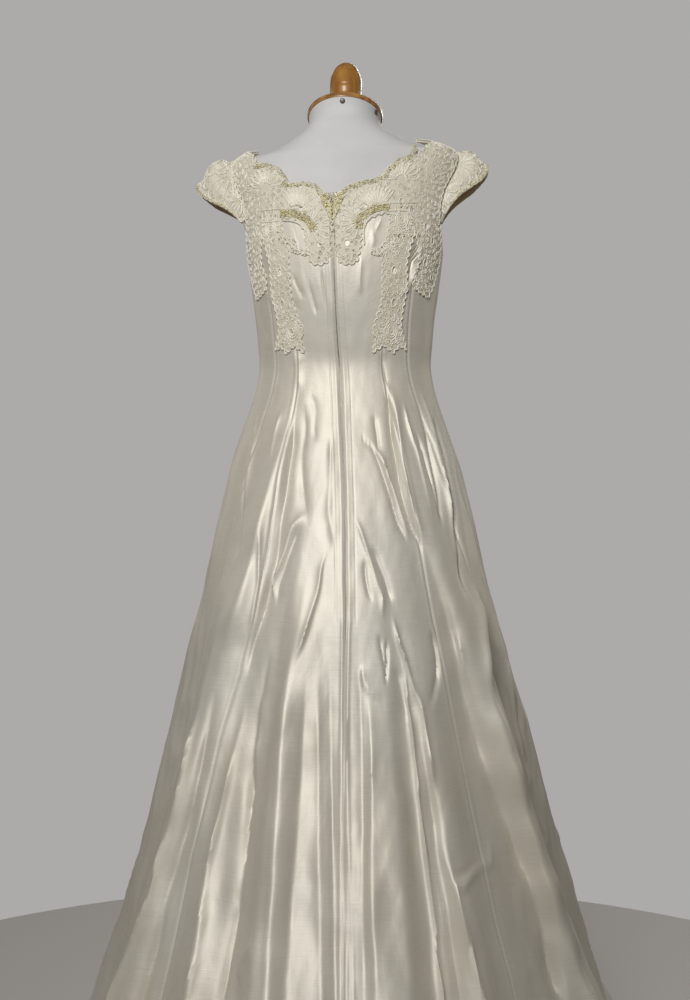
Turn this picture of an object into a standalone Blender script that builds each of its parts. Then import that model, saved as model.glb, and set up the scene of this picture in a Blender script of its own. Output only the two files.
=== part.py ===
"""A floor-length wedding dress on a limbless dress form.

Metres, +Z up. The origin is the centre of the stand's underside. The wearer's front faces -Y and
the wearer's left is +X. Round the body, an angle of 0 degrees is the centre back (+Y), 90 is the
wearer's left side (+X), -90 the right side and 180 the centre front.
"""

import math

import bpy
import numpy as np
from mathutils import Matrix, Vector
from mathutils.bvhtree import BVHTree
from mathutils.geometry import delaunay_2d_cdt

# Driving sizes
WALL = 0.0020            # silk, interlining and lining together
SEAM_GAP = 0.0003        # clear space between two pieces that meet
HEM_HEIGHT = 0.0020      # the hem just clears the floor
ZIP_BOTTOM = 0.735       # height of the lower end of the zip
LACE_GAP = 0.0016        # clear space between the silk and the applique on it
LACE_GAP_SHOULDER = 0.0034
SHOULDER_HEIGHTS = (1.350, 1.390)
LACE_THICK = 0.0014
BASE_RADIUS = 0.190
BASE_THICK = 0.022
POLE_RADIUS = 0.016
FORM_BOTTOM = 0.735
NECK_TOP = 1.4650
CAP_RADIUS = 0.0565
CAP_THICK = 0.0100
CAP_TILT = math.radians(20.0)

# Body sections: height, half width, depth to the back, depth to the front, ease of the cloth
TORSO = (
    (1.0900, 0.1205, 0.0745, 0.0960, 0.0060),
    (1.1300, 0.1225, 0.0790, 0.1040, 0.0060),
    (1.1700, 0.1270, 0.0860, 0.1150, 0.0055),
    (1.2100, 0.1330, 0.0910, 0.1215, 0.0050),
    (1.2400, 0.1375, 0.0925, 0.1200, 0.0045),
    (1.2700, 0.1420, 0.0920, 0.1140, 0.0040),
    (1.3100, 0.1475, 0.0885, 0.1040, 0.0030),
    (1.3450, 0.1545, 0.0830, 0.0940, 0.0020),
    (1.3700, 0.1620, 0.0785, 0.0860, 0.0013),
    (1.3880, 0.1660, 0.0750, 0.0805, 0.0010),
    (1.3990, 0.1660, 0.0728, 0.0778, 0.0009),
    (1.4072, 0.1610, 0.0710, 0.0755, 0.0009),
    (1.4135, 0.1500, 0.0690, 0.0730, 0.0009),
    (1.4190, 0.1310, 0.0665, 0.0700, 0.0009),
    (1.4250, 0.1120, 0.0645, 0.0675, 0.0009),
    (1.4320, 0.0920, 0.0620, 0.0640, 0.0009),
    (1.4410, 0.0680, 0.0575, 0.0590, 0.0009),
    (1.4480, 0.0570, 0.0560, 0.0565, 0.0009),
    (1.4560, 0.0535, 0.0535, 0.0535, 0.0009),
    (NECK_TOP, 0.0540, 0.0540, 0.0540, 0.0009),
)
HIPS = (
    (FORM_BOTTOM, 0.1560, 0.1000, 0.0980, 0.0),
    (0.8000, 0.1680, 0.1110, 0.1070, 0.0),
    (0.8800, 0.1690, 0.1150, 0.1110, 0.0),
    (0.9400, 0.1590, 0.1060, 0.1090, 0.0),
    (1.0000, 0.1420, 0.0910, 0.1040, 0.0),
    (1.0500, 0.1265, 0.0790, 0.0980, 0.0),
)
SKIRT = (
    (0.0000, 0.4050, 0.5600, 0.3350, 0.0),
    (0.1300, 0.3600, 0.4700, 0.2950, 0.0),
    (0.2700, 0.3150, 0.3850, 0.2550, 0.0),
    (0.4200, 0.2740, 0.3070, 0.2180, 0.0),
    (0.5700, 0.2420, 0.2450, 0.1870, 0.0),
    (0.7000, 0.2190, 0.2030, 0.1640, 0.0),
    (0.8000, 0.2010, 0.1720, 0.1480, 0.0005),
    (0.8800, 0.1850, 0.1460, 0.1360, 0.0010),
    (0.9400, 0.1690, 0.1230, 0.1240, 0.0020),
    (1.0000, 0.1470, 0.0980, 0.1120, 0.0040),
    (1.0500, 0.1280, 0.0810, 0.1000, 0.0060),
)
# How far the form's cover stands back from the body sections: height, depth
FORM_CLEAR = ((0.735, 0.003), (1.10, 0.003), (1.15, 0.005), (1.21, 0.009), (1.27, 0.005),
              (1.36, 0.004), (1.39, 0.006), (1.415, 0.006), (1.432, 0.0035), (1.447, 0.0))
SHOULDER_LEAN = 0.028    # the wearer's right shoulder stands this much of its distance higher
BUST = {"angle": 143.0, "height": 1.212, "rise": 0.0150, "wide": 22.0, "tall": 0.052}

# Flutes of the skirt: angle at hip, knee and hem, top height, rise at the hem, half width, skew
FOLDS = (
    (2.0, 2.0, 1.0, 0.62, 0.014, 4.0, 0.0),
    (12.0, 15.5, 12.5, 0.92, 0.040, 6.5, 0.35),
    (34.0, 37.0, 27.0, 0.66, 0.022, 5.0, -0.20),
    (35.0, 46.5, 56.0, 1.06, 0.048, 9.0, -0.15),
    (68.0, 80.0, 88.0, 0.98, 0.026, 10.0, 0.0),
    (101.0, 110.0, 115.0, 0.92, 0.036, 11.0, 0.20),
    (132.0, 137.0, 139.0, 0.95, 0.036, 10.0, 0.0),
    (166.0, 163.5, 162.0, 0.86, 0.034, 9.0, 0.0),
    (-14.0, -17.5, -18.0, 0.84, 0.036, 9.5, -0.50),
    (-25.0, -32.0, -37.0, 0.78, 0.034, 5.5, 0.25),
    (-40.0, -61.0, -80.0, 1.06, 0.050, 10.0, 0.15),
    (-64.0, -88.0, -104.0, 1.06, 0.044, 10.0, 0.0),
    (-104.0, -114.0, -128.0, 0.92, 0.032, 10.0, 0.0),
    (-133.0, -140.0, -148.0, 0.95, 0.036, 9.0, 0.25),
    (-168.0, -165.0, -166.0, 0.86, 0.030, 8.0, 0.0),
)
KNEE = 0.50
HIP = 0.95

# Sideways turn of the whole garment on the form: height, degrees at the centre back
TWIST = ((0.0, -4.5), (0.34, -4.5), (0.50, -3.5), (0.74, -4.0), (0.87, -3.2), (0.965, -1.8), (1.07, 0.4),
         (1.11, 2.0), (1.18, 3.2), (1.25, 4.0), (1.33, 4.6), (1.47, 4.6))

# Seams from hem to top: height, angle
INNER_SEAM = ((0.0, 46.0), (0.40, 43.0), (0.57, 40.0), (0.76, 33.5), (0.93, 30.5), (1.09, 29.0),
              (1.195, 33.0), (1.27, 39.5), (1.33, 50.0), (1.375, 63.0))
OUTER_SEAM = ((0.0, 73.0), (0.40, 68.0), (0.57, 64.0), (0.76, 58.0), (0.93, 54.0), (1.083, 50.0),
              (1.195, 49.5), (1.27, 56.0))
SIDE_SEAM = ((0.0, 102.0), (0.57, 97.0), (0.90, 92.0), (1.083, 90.0))
FRONT_SEAM = ((0.0, 148.0), (0.57, 148.0), (0.90, 149.0), (1.09, 150.0), (1.21, 143.0), (1.30, 134.0),
              (1.36, 120.0), (1.385, 108.0))

# Openings of the bodice: angle, height
NECK_BACK = ((0.0, 1.333), (7.0, 1.3375), (9.0, 1.345), (13.0, 1.3505), (19.0, 1.3525), (26.3, 1.3553),
             (27.3, 1.3645), (30.0, 1.377), (36.0, 1.383), (43.0, 1.389), (47.5, 1.400), (52.0, 1.407))
NECK_FRONT = ((180.0, 1.285), (170.0, 1.289), (160.0, 1.297), (152.0, 1.311), (144.0, 1.333),
              (135.0, 1.360), (121.0, 1.391), (107.0, 1.408))
ARMHOLE_BACK = ((73.0, 1.298), (71.5, 1.322), (72.5, 1.347), (75.5, 1.362), (81.0, 1.378))
ARMHOLE_FRONT = ((113.0, 1.298), (113.5, 1.325), (112.0, 1.347), (108.0, 1.364), (101.0, 1.380))
UNDERARM = 1.258
UNDERARM_BACK = ((78.0, 1.281), (83.0, 1.267))
UNDERARM_FRONT = ((96.0, 1.262), (104.0, 1.272), (109.0, 1.284))

# Shoulder line of each side, as distances from the centre, and its cap sleeve
SIDES = {
    "left": {"sign": 1.0, "neck": 0.1290, "seam": 0.1440, "tip": 0.1575, "cap": 0.062, "droop": 31.0,
             "crown": 0.26},
    "right": {"sign": -1.0, "neck": 0.1050, "seam": 0.1370, "tip": 0.1600, "cap": 0.047, "droop": 23.0,
              "crown": 0.21},
}

# Rows of the cloth grid up to the armhole, as heights, and the rows above it
ROW_HEIGHTS = (HEM_HEIGHT, 0.13, 0.27, 0.42, 0.57, ZIP_BOTTOM, 0.82, 0.89, 0.95, 1.00, 1.045,
               1.085, 1.125, 1.165, 1.205, 1.240)
ROWS_ABOVE = 8
LOWER_ROWS = len(ROW_HEIGHTS)

PALETTE = {
    "silk": ((0.80, 0.76, 0.65), 0.38, 0.0),
    "lace": ((0.84, 0.79, 0.66), 0.60, 0.0),
    "form_cover": ((0.56, 0.56, 0.58), 0.75, 0.0),
    "wood": ((0.50, 0.28, 0.10), 0.30, 0.0),
    "steel": ((0.35, 0.35, 0.36), 0.35, 1.0),
}


def clear_scene():
    for thing in list(bpy.data.objects):
        bpy.data.objects.remove(thing)


def material(slot):
    found = bpy.data.materials.get(slot)
    if found:
        return found
    colour, roughness, metallic = PALETTE[slot]
    made = bpy.data.materials.new(slot)
    made.use_nodes = True
    shader = made.node_tree.nodes["Principled BSDF"]
    shader.inputs["Base Color"].default_value = (*colour, 1.0)
    shader.inputs["Roughness"].default_value = roughness
    shader.inputs["Metallic"].default_value = metallic
    return made


def add_mesh(name, points, faces, slot):
    """A named object from points and faces, turned so that its faces point out."""
    points = np.asarray(points, float)
    volume = 0.0
    for face in faces:
        for second, third in zip(face[1:], face[2:]):
            volume += float(np.dot(points[face[0]], np.cross(points[second], points[third])))
    if volume < 0:
        faces = [tuple(reversed(face)) for face in faces]
    mesh = bpy.data.meshes.new(name)
    mesh.from_pydata(points.tolist(), [], faces)
    mesh.validate()
    thing = bpy.data.objects.new(name, mesh)
    bpy.context.scene.collection.objects.link(thing)
    mesh.materials.append(material(slot))
    mesh.shade_smooth()
    mesh.set_sharp_from_angle(angle=math.radians(40.0))
    return thing


# Sections and the surfaces lofted through them
def spline(rows, t):
    """Smooth values at the row positions t, through rows of numbers."""
    rows = np.asarray(rows, float)
    t = np.clip(np.asarray(t, float), 0.0, len(rows) - 1.0)
    i = np.clip(np.floor(t).astype(int), 0, len(rows) - 2)
    f = (t - i)[..., None]
    before, here, after, beyond = (rows[np.clip(i + k, 0, len(rows) - 1)] for k in (-1, 0, 1, 2))
    return 0.5 * (
        2 * here + (after - before) * f
        + (2 * before - 5 * here + 4 * after - beyond) * f ** 2
        + (3 * here - before - 3 * after + beyond) * f ** 3
    )


def smooth_step(x):
    x = np.clip(x, 0.0, 1.0)
    return x * x * (3 - 2 * x)


def row_of_height(rows, height):
    t = np.linspace(0.0, len(rows) - 1.0, 2000)
    return np.interp(height, spline(rows, t)[:, 0], t)


def row_of_half_width(rows, half_width):
    """The row position on the shoulder slope, where the body narrows upwards to this half width."""
    t = np.linspace(row_of_height(rows, 1.370), len(rows) - 1.0, 1600)
    widths = spline(rows, t)[:, 1]
    start = int(np.argmax(widths))
    return float(np.interp(-half_width, -widths[start:], t[start:]))


def body_point(rows, angle, t):
    """Points of the lofted body itself."""
    height, half_width, back, front, _ = np.moveaxis(spline(rows, t), -1, 0)
    a = np.radians(angle)
    depth = np.where(np.cos(a) > 0, back, front)
    x = half_width * np.sin(a)
    y = depth * np.cos(a)
    for side in (1.0, -1.0):
        off = (np.abs((angle - side * BUST["angle"] + 180.0) % 360.0 - 180.0)) / BUST["wide"]
        rise = BUST["rise"] * np.exp(-off ** 2 - ((height - BUST["height"]) / BUST["tall"]) ** 2)
        x = x + rise * np.sin(a)
        y = y + rise * np.cos(a)
    tilt = smooth_step((height - 1.425) / (NECK_TOP - 1.425))
    lean = SHOULDER_LEAN * smooth_step((height - 1.20) / 0.16) * (1.0 - smooth_step((height - 1.420) / 0.030))
    height = height + tilt * y * math.tan(CAP_TILT) - lean * x
    return np.stack([x, y, height], -1)


def normal_of(point_function, angle, t):
    step_angle, step_t = 0.25, 0.01
    across = point_function(angle + step_angle, t) - point_function(angle - step_angle, t)
    up = point_function(angle, t + step_t) - point_function(angle, t - step_t)
    normal = np.cross(up, across)
    return normal / np.maximum(np.linalg.norm(normal, axis=-1, keepdims=True), 1e-12)


FORM_ROWS = HIPS + TORSO
DRESS_ROWS = SKIRT + TORSO


def fold_rise(angle, height):
    """How far the flutes stand out from the skirt's valleys."""
    total = np.zeros(np.broadcast(angle, height).shape)
    for hip, knee, hem, top, rise, half, skew in FOLDS:
        low = np.clip(height / KNEE, 0.0, 1.0)
        high = np.clip((height - KNEE) / (HIP - KNEE), 0.0, 1.3)
        centre = np.where(height < KNEE, hem + (knee - hem) * low, knee + (hip - knee) * high)
        fade = smooth_step((top - height) / (0.55 * top)) * (0.35 + 0.65 * np.clip(1.0 - height / top, 0, 1))
        off = ((angle - centre + 180.0) % 360.0 - 180.0) / half
        off = off / np.where(off > 0, 1.0 - skew, 1.0 + skew)
        total = total + rise * fade * np.exp(-np.abs(off) ** 2.2)
    return total


def dress_point(angle, t):
    """Points of the dress's outer face."""
    angle, t = np.broadcast_arrays(np.asarray(angle, float), np.asarray(t, float))

    def base(at_angle, at_t):
        return body_point(DRESS_ROWS, at_angle, at_t)

    row = spline(DRESS_ROWS, t)
    point = base(angle, t) + normal_of(base, angle, t) * (row[..., 4] + WALL)[..., None]
    a = np.radians(angle)
    depth = np.where(np.cos(a) > 0, row[..., 2], row[..., 3])
    level = np.stack([np.sin(a) / row[..., 1], np.cos(a) / depth, 0 * a], -1)
    level = level / np.linalg.norm(level, axis=-1, keepdims=True)
    return point + level * fold_rise(angle, row[..., 0])[..., None]


def dress_normal(angle, t):
    return normal_of(dress_point, np.asarray(angle, float), np.asarray(t, float))


def on_dress(places, lift=0.0):
    """Points on the dress at (angle, row position) pairs, moved out by lift."""
    places = np.asarray(places, float)
    angle, t = places[..., 0], places[..., 1]
    return dress_point(angle, t) + dress_normal(angle, t) * np.asarray(lift)[..., None]


def twisted(places):
    """Turns (angle, row position) pairs as the garment is turned on the form."""
    places = np.array(places, float)
    height = spline(DRESS_ROWS, places[..., 1])[..., 0]
    turn = np.interp(height, [row[0] for row in TWIST], [row[1] for row in TWIST])
    places[..., 0] += turn * np.cos(np.radians(places[..., 0]))
    return places


# Cutting lines, as lists of (angle, row position)
def line(pairs):
    """(angle, height) pairs as (angle, row position) pairs."""
    pairs = np.asarray(pairs, float)
    return np.stack([pairs[:, 0], row_of_height(DRESS_ROWS, pairs[:, 1])], -1)


def spread(points, count, corner=None):
    """count + 1 points spread evenly along a line of (angle, row position) points.

    corner = (index, count up to it) keeps that point of the line as one of them.
    """
    points = np.asarray(points, float)
    if corner:
        at, first = corner
        return np.concatenate([spread(points[: at + 1], first), spread(points[at:], count - first)[1:]])
    real = dress_point(points[:, 0], points[:, 1])
    run = np.concatenate([[0.0], np.cumsum(np.linalg.norm(np.diff(real, axis=0), axis=1))])
    wanted = np.linspace(0.0, run[-1], count + 1)
    return np.stack([np.interp(wanted, run, points[:, 0]), np.interp(wanted, run, points[:, 1])], -1)


def lower_line(seam):
    """A seam's points at the shared row heights below the armhole."""
    heights = np.asarray(ROW_HEIGHTS)
    angles = np.interp(heights, [row[0] for row in seam], [row[1] for row in seam])
    return np.stack([angles, row_of_height(DRESS_ROWS, heights)], -1)


def cutting_lines(side):
    """Every seam and edge of one half of the garment, for a side with +X angles."""
    corner, seam_end, tip = (
        (90.0, row_of_half_width(DRESS_ROWS, side[key])) for key in ("neck", "seam", "tip")
    )
    lines = {}
    centre = [(0.0, row_of_height(DRESS_ROWS, height)) for height in ROW_HEIGHTS]
    neck_back = np.vstack([line(NECK_BACK), corner])
    neck_front = np.vstack([line(NECK_FRONT), corner])
    lines["centre_back"] = np.vstack([centre, spread([centre[-1], neck_back[0]], ROWS_ABOVE)[1:]])
    for name, seam in (("inner", INNER_SEAM), ("front", FRONT_SEAM)):
        lower = lower_line(seam)
        above = [lower[-1]] + [row for row in line([(a, h) for h, a in seam]) if row[1] > lower[-1][1] + 0.1]
        lines[name] = np.vstack([lower, spread(np.vstack([above, seam_end]), ROWS_ABOVE)[1:]])
    lower = lower_line(OUTER_SEAM)
    notch = line(ARMHOLE_BACK[:1])[0]
    lines["outer"] = np.vstack([lower, notch])
    lines["outer_and_armhole"] = np.vstack(
        [lower, notch, spread(np.vstack([line(ARMHOLE_BACK), tip]), ROWS_ABOVE - 1)[1:]])
    lower = lower_line(SIDE_SEAM)
    underarm = np.array([90.0, row_of_height(DRESS_ROWS, UNDERARM)])
    lines["side"] = np.vstack([lower, underarm])
    up_front = np.vstack([underarm, line(UNDERARM_FRONT), line(ARMHOLE_FRONT), tip])
    front_corner = 1 + len(UNDERARM_FRONT)
    lines["side_and_armhole"] = np.vstack([lower, spread(up_front, ROWS_ABOVE - 1, (front_corner, 2))])
    lines["underarm"] = np.vstack([notch, line(UNDERARM_BACK), underarm])
    lines["neck_back"], lines["neck_front"] = neck_back, neck_front
    lines["shoulder_in"] = np.array([corner, seam_end])
    lines["shoulder_out"] = np.array([seam_end, tip])
    return lines


def patch(left, right, top):
    """A grid of (angle, row position) filling four edges; its lowest row lies along the hem."""
    rows, columns = len(left), len(top)
    u = np.linspace(0.0, 1.0, columns)[None, :, None]
    v = np.linspace(0.0, 1.0, rows)[:, None, None] ** 3
    hem = left[0] + (right[0] - left[0]) * u
    sides = left[:, None] * (1 - u) + right[:, None] * u
    ends = hem * (1 - v) + np.asarray(top)[None] * v
    corners = (left[0] * (1 - u) + right[0] * u) * (1 - v) + (left[-1] * (1 - u) + right[-1] * u) * v
    return sides + ends - corners


def mirrored(places, sign):
    return places * np.array([sign, 1.0])


def pull_in(grid, amount, edges):
    """Moves the named edges of a grid of points inwards along the cloth."""
    grid = grid.copy()
    for edge in edges:
        here, inner = {
            "left": ((slice(None), 0), (slice(None), 1)), "right": ((slice(None), -1), (slice(None), -2)),
            "top": ((-1,), (-2,)), "bottom": ((0,), (1,)),
        }[edge]
        way = grid[inner] - grid[here]
        way = way / np.linalg.norm(way, axis=-1, keepdims=True)
        grid[here] = grid[here] + way * np.asarray(amount)[..., None]
    return grid


def wall(name, outer, inner, slot, one_way=False):
    """A closed wall between two grids of points with the same rows and columns.

    Each cell is split along its shorter diagonal, or all of them one way, so that two layers fit.
    """
    rows, columns = outer.shape[:2]
    points = np.concatenate([outer.reshape(-1, 3), inner.reshape(-1, 3)])
    half = rows * columns
    faces = []
    for i in range(rows - 1):
        for j in range(columns - 1):
            a, b, c, d = (i * columns + j, i * columns + j + 1, (i + 1) * columns + j + 1, (i + 1) * columns + j)
            if one_way or np.linalg.norm(points[a] - points[c]) < np.linalg.norm(points[b] - points[d]):
                triangles = ((a, b, c), (a, c, d))
            else:
                triangles = ((a, b, d), (b, c, d))
            for triangle in triangles:
                faces.append(triangle)
                faces.append(tuple(half + k for k in reversed(triangle)))
    # Both sides of a seam split their edges along the same diagonal, from the outer face's higher end
    rim = list(range(columns))
    rim += [i * columns + columns - 1 for i in range(1, rows)]
    rim += [(rows - 1) * columns + j for j in range(columns - 2, -1, -1)]
    rim += [i * columns for i in range(rows - 2, 0, -1)]
    for here, after in zip(rim, rim[1:] + rim[:1]):
        if points[after][2] > points[here][2]:
            faces += [(after, here, half + here), (after, half + here, half + after)]
        else:
            faces += [(after, here, half + after), (here, half + here, half + after)]
    return add_mesh(name, points, faces, slot)


def panel(name, places, edges, zip_edge=None):
    """A cloth panel over a grid of places, clear of its neighbours by half the seam gap at each edge.

    Returns the grid of its outer face.
    """
    places = twisted(places)
    outer = on_dress(places)
    inner = on_dress(places, -WALL)
    grids = [pull_in(grid, SEAM_GAP / 2, edges) for grid in (outer, inner)]
    if zip_edge:
        heights = outer[:, 0, 2]
        opening = zip_opening(heights) / 2 - SEAM_GAP / 2
        grids = [pull_in(grid, opening, [zip_edge]) for grid in grids]
    wall(name, grids[0], grids[1], "silk")
    return outer


def zip_opening(height):
    """Width of the centre back gap over the zip: widest at the waist, closed below the zip."""
    heights = (0.0, ZIP_BOTTOM - 0.04, ZIP_BOTTOM, 0.95, 1.09, 1.20, 1.34)
    widths = (SEAM_GAP, SEAM_GAP, 0.0022, 0.0030, 0.0052, 0.0034, 0.0030)
    return np.interp(height, heights, widths)


def make_panels():
    """All the panels. Returns the cutting lines of both sides and the grids of the outer faces."""
    grids = []
    halves = {key: cutting_lines(side) for key, side in SIDES.items()}
    for key, side in SIDES.items():
        lines, sign = halves[key], side["sign"]
        neck = lines["neck_back"]
        top = np.vstack([spread(neck, 9), spread(lines["shoulder_in"], 2)[1:]])
        places = patch(lines["centre_back"], lines["inner"], top)
        grids.append(panel(f"back_{key}", mirrored(places, sign), ("left", "right", "top"), "left"))
        places = patch(lines["inner"], lines["outer_and_armhole"], spread(lines["shoulder_out"], 6))
        grids.append(panel(f"back_princess_{key}", mirrored(places, sign), ("left", "right", "top")))
        places = patch(lines["outer"], lines["side"], spread(lines["underarm"], 6))
        grids.append(panel(f"side_back_{key}", mirrored(places, sign), ("left", "right", "top")))
        places = patch(lines["front"], lines["side_and_armhole"], spread(lines["shoulder_out"], 9))
        grids.append(panel(f"side_front_{key}", mirrored(places, sign), ("left", "right", "top")))
    left, right = halves["left"], halves["right"]
    half_tops = [np.vstack([spread(half["neck_front"], 5), spread(half["shoulder_in"], 2)[1:]])
                 for half in (left, right)]
    turned = half_tops[1] * np.array([-1.0, 1.0]) + np.array([360.0, 0.0])
    top = np.vstack([half_tops[0][::-1], turned[1:]])
    right_seam = right["front"] * np.array([-1.0, 1.0]) + np.array([360.0, 0.0])
    grids.append(panel("centre_front", patch(left["front"], right_seam, top), ("left", "right", "top")))
    return halves, grids


def sleeve_face(side, root_places, share, way, lift):
    """A grid of points from the armhole out over a cap sleeve, for the face that lies at this lift."""
    across = 5
    length = 0.0030 + side["cap"] * np.sin(np.pi * share) ** 1.6
    normal = dress_normal(root_places[:, 0], root_places[:, 1])
    root = on_dress(root_places)
    edge = np.gradient(root, axis=0)
    off = np.cross(normal, edge)
    off = off / np.linalg.norm(off, axis=1, keepdims=True)
    off = off * np.sign((off * way).sum(1, keepdims=True))
    root = root + off * SEAM_GAP
    up = np.cross(way, edge)
    up = up / np.linalg.norm(up, axis=1, keepdims=True)
    up = up * np.sign((up * normal).sum(1, keepdims=True))
    rows = []
    for k in range(across + 1):
        f = k / across
        crown = side["crown"] * length * math.sin(math.pi * f) ** 2
        rows.append(root + way * (length * f)[:, None] + up * crown[:, None])
    grid = np.array(rows)
    out = np.cross(np.gradient(grid, axis=0), np.gradient(grid, axis=1))
    out = out / np.linalg.norm(out, axis=-1, keepdims=True)
    out = out * np.sign((out * up[None]).sum(-1, keepdims=True))
    out[0] = normal
    return grid + out * lift


def make_sleeves(halves):
    """A cap sleeve stands out from the armhole of each side, from notch to notch over the shoulder."""
    for key, side in SIDES.items():
        lines, sign = halves[key], side["sign"]
        back = lines["outer_and_armhole"][LOWER_ROWS:]
        front = lines["side_and_armhole"][LOWER_ROWS + 2:]
        root_places = twisted(mirrored(np.vstack([back, front[::-1][1:]]), sign))
        outline = np.linalg.norm(np.diff(on_dress(root_places), axis=0), axis=1)
        share = np.concatenate([[0.0], np.cumsum(outline)]) / outline.sum()
        tip_share = share[len(back) - 1]
        root_places[[0, -1]] = 0.8 * root_places[[0, -1]] + 0.2 * root_places[[1, -2]]
        share = np.where(share < tip_share, share / tip_share / 2, 0.5 + (share - tip_share) / (1 - tip_share) / 2)
        normal = dress_normal(root_places[:, 0], root_places[:, 1])
        droop = math.radians(side["droop"])
        reach = np.full(len(share), math.cos(droop))
        way = np.stack([sign * reach, 0.55 * normal[:, 1], np.full(len(share), -math.sin(droop))], -1)
        way = way / np.linalg.norm(way, axis=1, keepdims=True)
        outer, inner = (sleeve_face(side, root_places, share, way, lift) for lift in (0.0, -WALL))
        wall(f"cap_sleeve_{key}", outer, inner, "silk", True)
        # The applique on the sleeve starts a little out from the armhole and stops short of both notches
        top, under = (sleeve_face(side, root_places, share, way, lift)[1:, 2:-2]
                      for lift in (LACE_GAP + LACE_THICK, LACE_GAP))
        wall(f"lace_sleeve_{key}", top, under, "lace", True)


def make_zip(halves):
    """The zip: a tape behind the centre back gap with a raised row of teeth standing in the gap."""
    sections = ((-0.0090, -0.0054), (-0.0040, -0.0040), (0.0040, -0.0040), (0.0090, -0.0054),
                (0.0090, -0.0046), (0.0040, -0.0032), (0.0008, -0.0032), (0.0008, -0.0006),
                (-0.0008, -0.0006), (-0.0008, -0.0032), (-0.0040, -0.0032), (-0.0090, -0.0046))
    centre = halves["left"]["centre_back"]
    heights = spline(DRESS_ROWS, centre[:, 1])[:, 0]
    rows = [(0.0, row_of_height(DRESS_ROWS, ZIP_BOTTOM))]
    rows += [row for row, h in zip(centre, heights) if h > ZIP_BOTTOM + 0.01]
    rows[-1] = (0.0, row_of_height(DRESS_ROWS, 1.333))
    places = twisted(rows)
    middle, normal = on_dress(places), dress_normal(places[:, 0], places[:, 1])
    along = np.gradient(middle, axis=0)
    side = np.cross(normal, along)
    side = side / np.linalg.norm(side, axis=1, keepdims=True)
    points = np.concatenate([middle + side * x + normal * depth for x, depth in sections])
    count, size = len(rows), len(sections)
    faces = [(s * count + i, ((s + 1) % size) * count + i, ((s + 1) % size) * count + i + 1, s * count + i + 1)
             for s in range(size) for i in range(count - 1)]
    faces.append(tuple(s * count for s in reversed(range(size))))
    faces.append(tuple(s * count + count - 1 for s in range(size)))
    add_mesh("zip", points, faces, "steel")


# Applique outlines below the neckline: angle, height, from the armhole round to the centre back
LACE_BACK = (
    (69.5, 1.304), (74.0, 1.278), (77.0, 1.250), (72.0, 1.215), (66.0, 1.192), (57.0, 1.198),
    (50.5, 1.205), (50.0, 1.225), (53.5, 1.238), (52.0, 1.262), (49.0, 1.285), (46.0, 1.262),
    (44.0, 1.238), (45.5, 1.200), (43.5, 1.170), (42.5, 1.145), (46.5, 1.125), (48.0, 1.115),
    (42.0, 1.120), (38.0, 1.109), (30.5, 1.120), (23.0, 1.109), (25.5, 1.126), (23.5, 1.140),
    (26.0, 1.160), (29.5, 1.185), (29.0, 1.235), (28.0, 1.255), (31.0, 1.273), (32.5, 1.293),
    (31.5, 1.306), (25.0, 1.304), (19.0, 1.295), (16.0, 1.280), (15.5, 1.260), (13.5, 1.236),
    (9.0, 1.232), (4.0, 1.2345), (1.6, 1.250), (1.6, 1.300), (1.6, 1.328),
)
LACE_FRONT = (
    (115.5, 1.304), (111.0, 1.282), (107.0, 1.256), (108.0, 1.228), (114.0, 1.205), (121.0, 1.212),
    (121.0, 1.240), (124.0, 1.262), (130.0, 1.266), (134.0, 1.245), (135.0, 1.215), (134.0, 1.180),
    (133.0, 1.150), (139.0, 1.128), (147.0, 1.120), (156.0, 1.118), (152.0, 1.142), (150.0, 1.170),
    (150.0, 1.200), (152.0, 1.226), (160.0, 1.238), (168.0, 1.222), (174.0, 1.205), (180.0, 1.196),
)
# The open places between the applique's motifs: angle, height, and half their width and height
LACE_GAPS_BACK = (
    (6.5, 1.298, 0.0026, 0.0060), (12.0, 1.306, 0.0026, 0.0060), (18.0, 1.318, 0.0028, 0.0056),
    (24.5, 1.326, 0.0028, 0.0056), (8.0, 1.262, 0.0034, 0.0042), (38.0, 1.322, 0.0030, 0.0052),
    (45.0, 1.312, 0.0030, 0.0052), (38.5, 1.272, 0.0036, 0.0046), (56.5, 1.290, 0.0032, 0.0050),
    (64.0, 1.272, 0.0034, 0.0046), (59.0, 1.240, 0.0036, 0.0044), (67.5, 1.222, 0.0032, 0.0042),
    (36.0, 1.225, 0.0034, 0.0050), (37.0, 1.180, 0.0034, 0.0050), (32.0, 1.140, 0.0036, 0.0042),
)
LACE_GAPS_FRONT = (
    (122.5, 1.292, 0.0032, 0.0050), (114.5, 1.236, 0.0034, 0.0046), (143.0, 1.282, 0.0032, 0.0052),
    (142.5, 1.232, 0.0034, 0.0050), (142.0, 1.186, 0.0034, 0.0050), (144.0, 1.142, 0.0036, 0.0044),
    (163.0, 1.258, 0.0034, 0.0046),
)
GAP_SIDES = 6


def inside(point, polygon):
    x, y = point
    hit = False
    for (x0, y0), (x1, y1) in zip(polygon, np.roll(polygon, -1, axis=0)):
        if (y0 > y) != (y1 > y) and x < (x1 - x0) * (y - y0) / (y1 - y0) + x0:
            hit = not hit
    return hit


def cloth_tree(grids):
    """The panels' outer faces, split as wall() splits them, to lay the applique on."""
    points, faces = [], []
    for grid in grids:
        rows, columns = grid.shape[:2]
        start = len(points)
        points += [tuple(point) for point in grid.reshape(-1, 3)]
        for i in range(rows - 1):
            for j in range(columns - 1):
                a, b = start + i * columns + j, start + i * columns + j + 1
                c, d = b + columns, a + columns
                if math.dist(points[a], points[c]) < math.dist(points[b], points[d]):
                    faces += [(a, b, c), (a, c, d)]
                else:
                    faces += [(a, b, d), (b, c, d)]
    return BVHTree.FromPolygons(points, faces)


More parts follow.
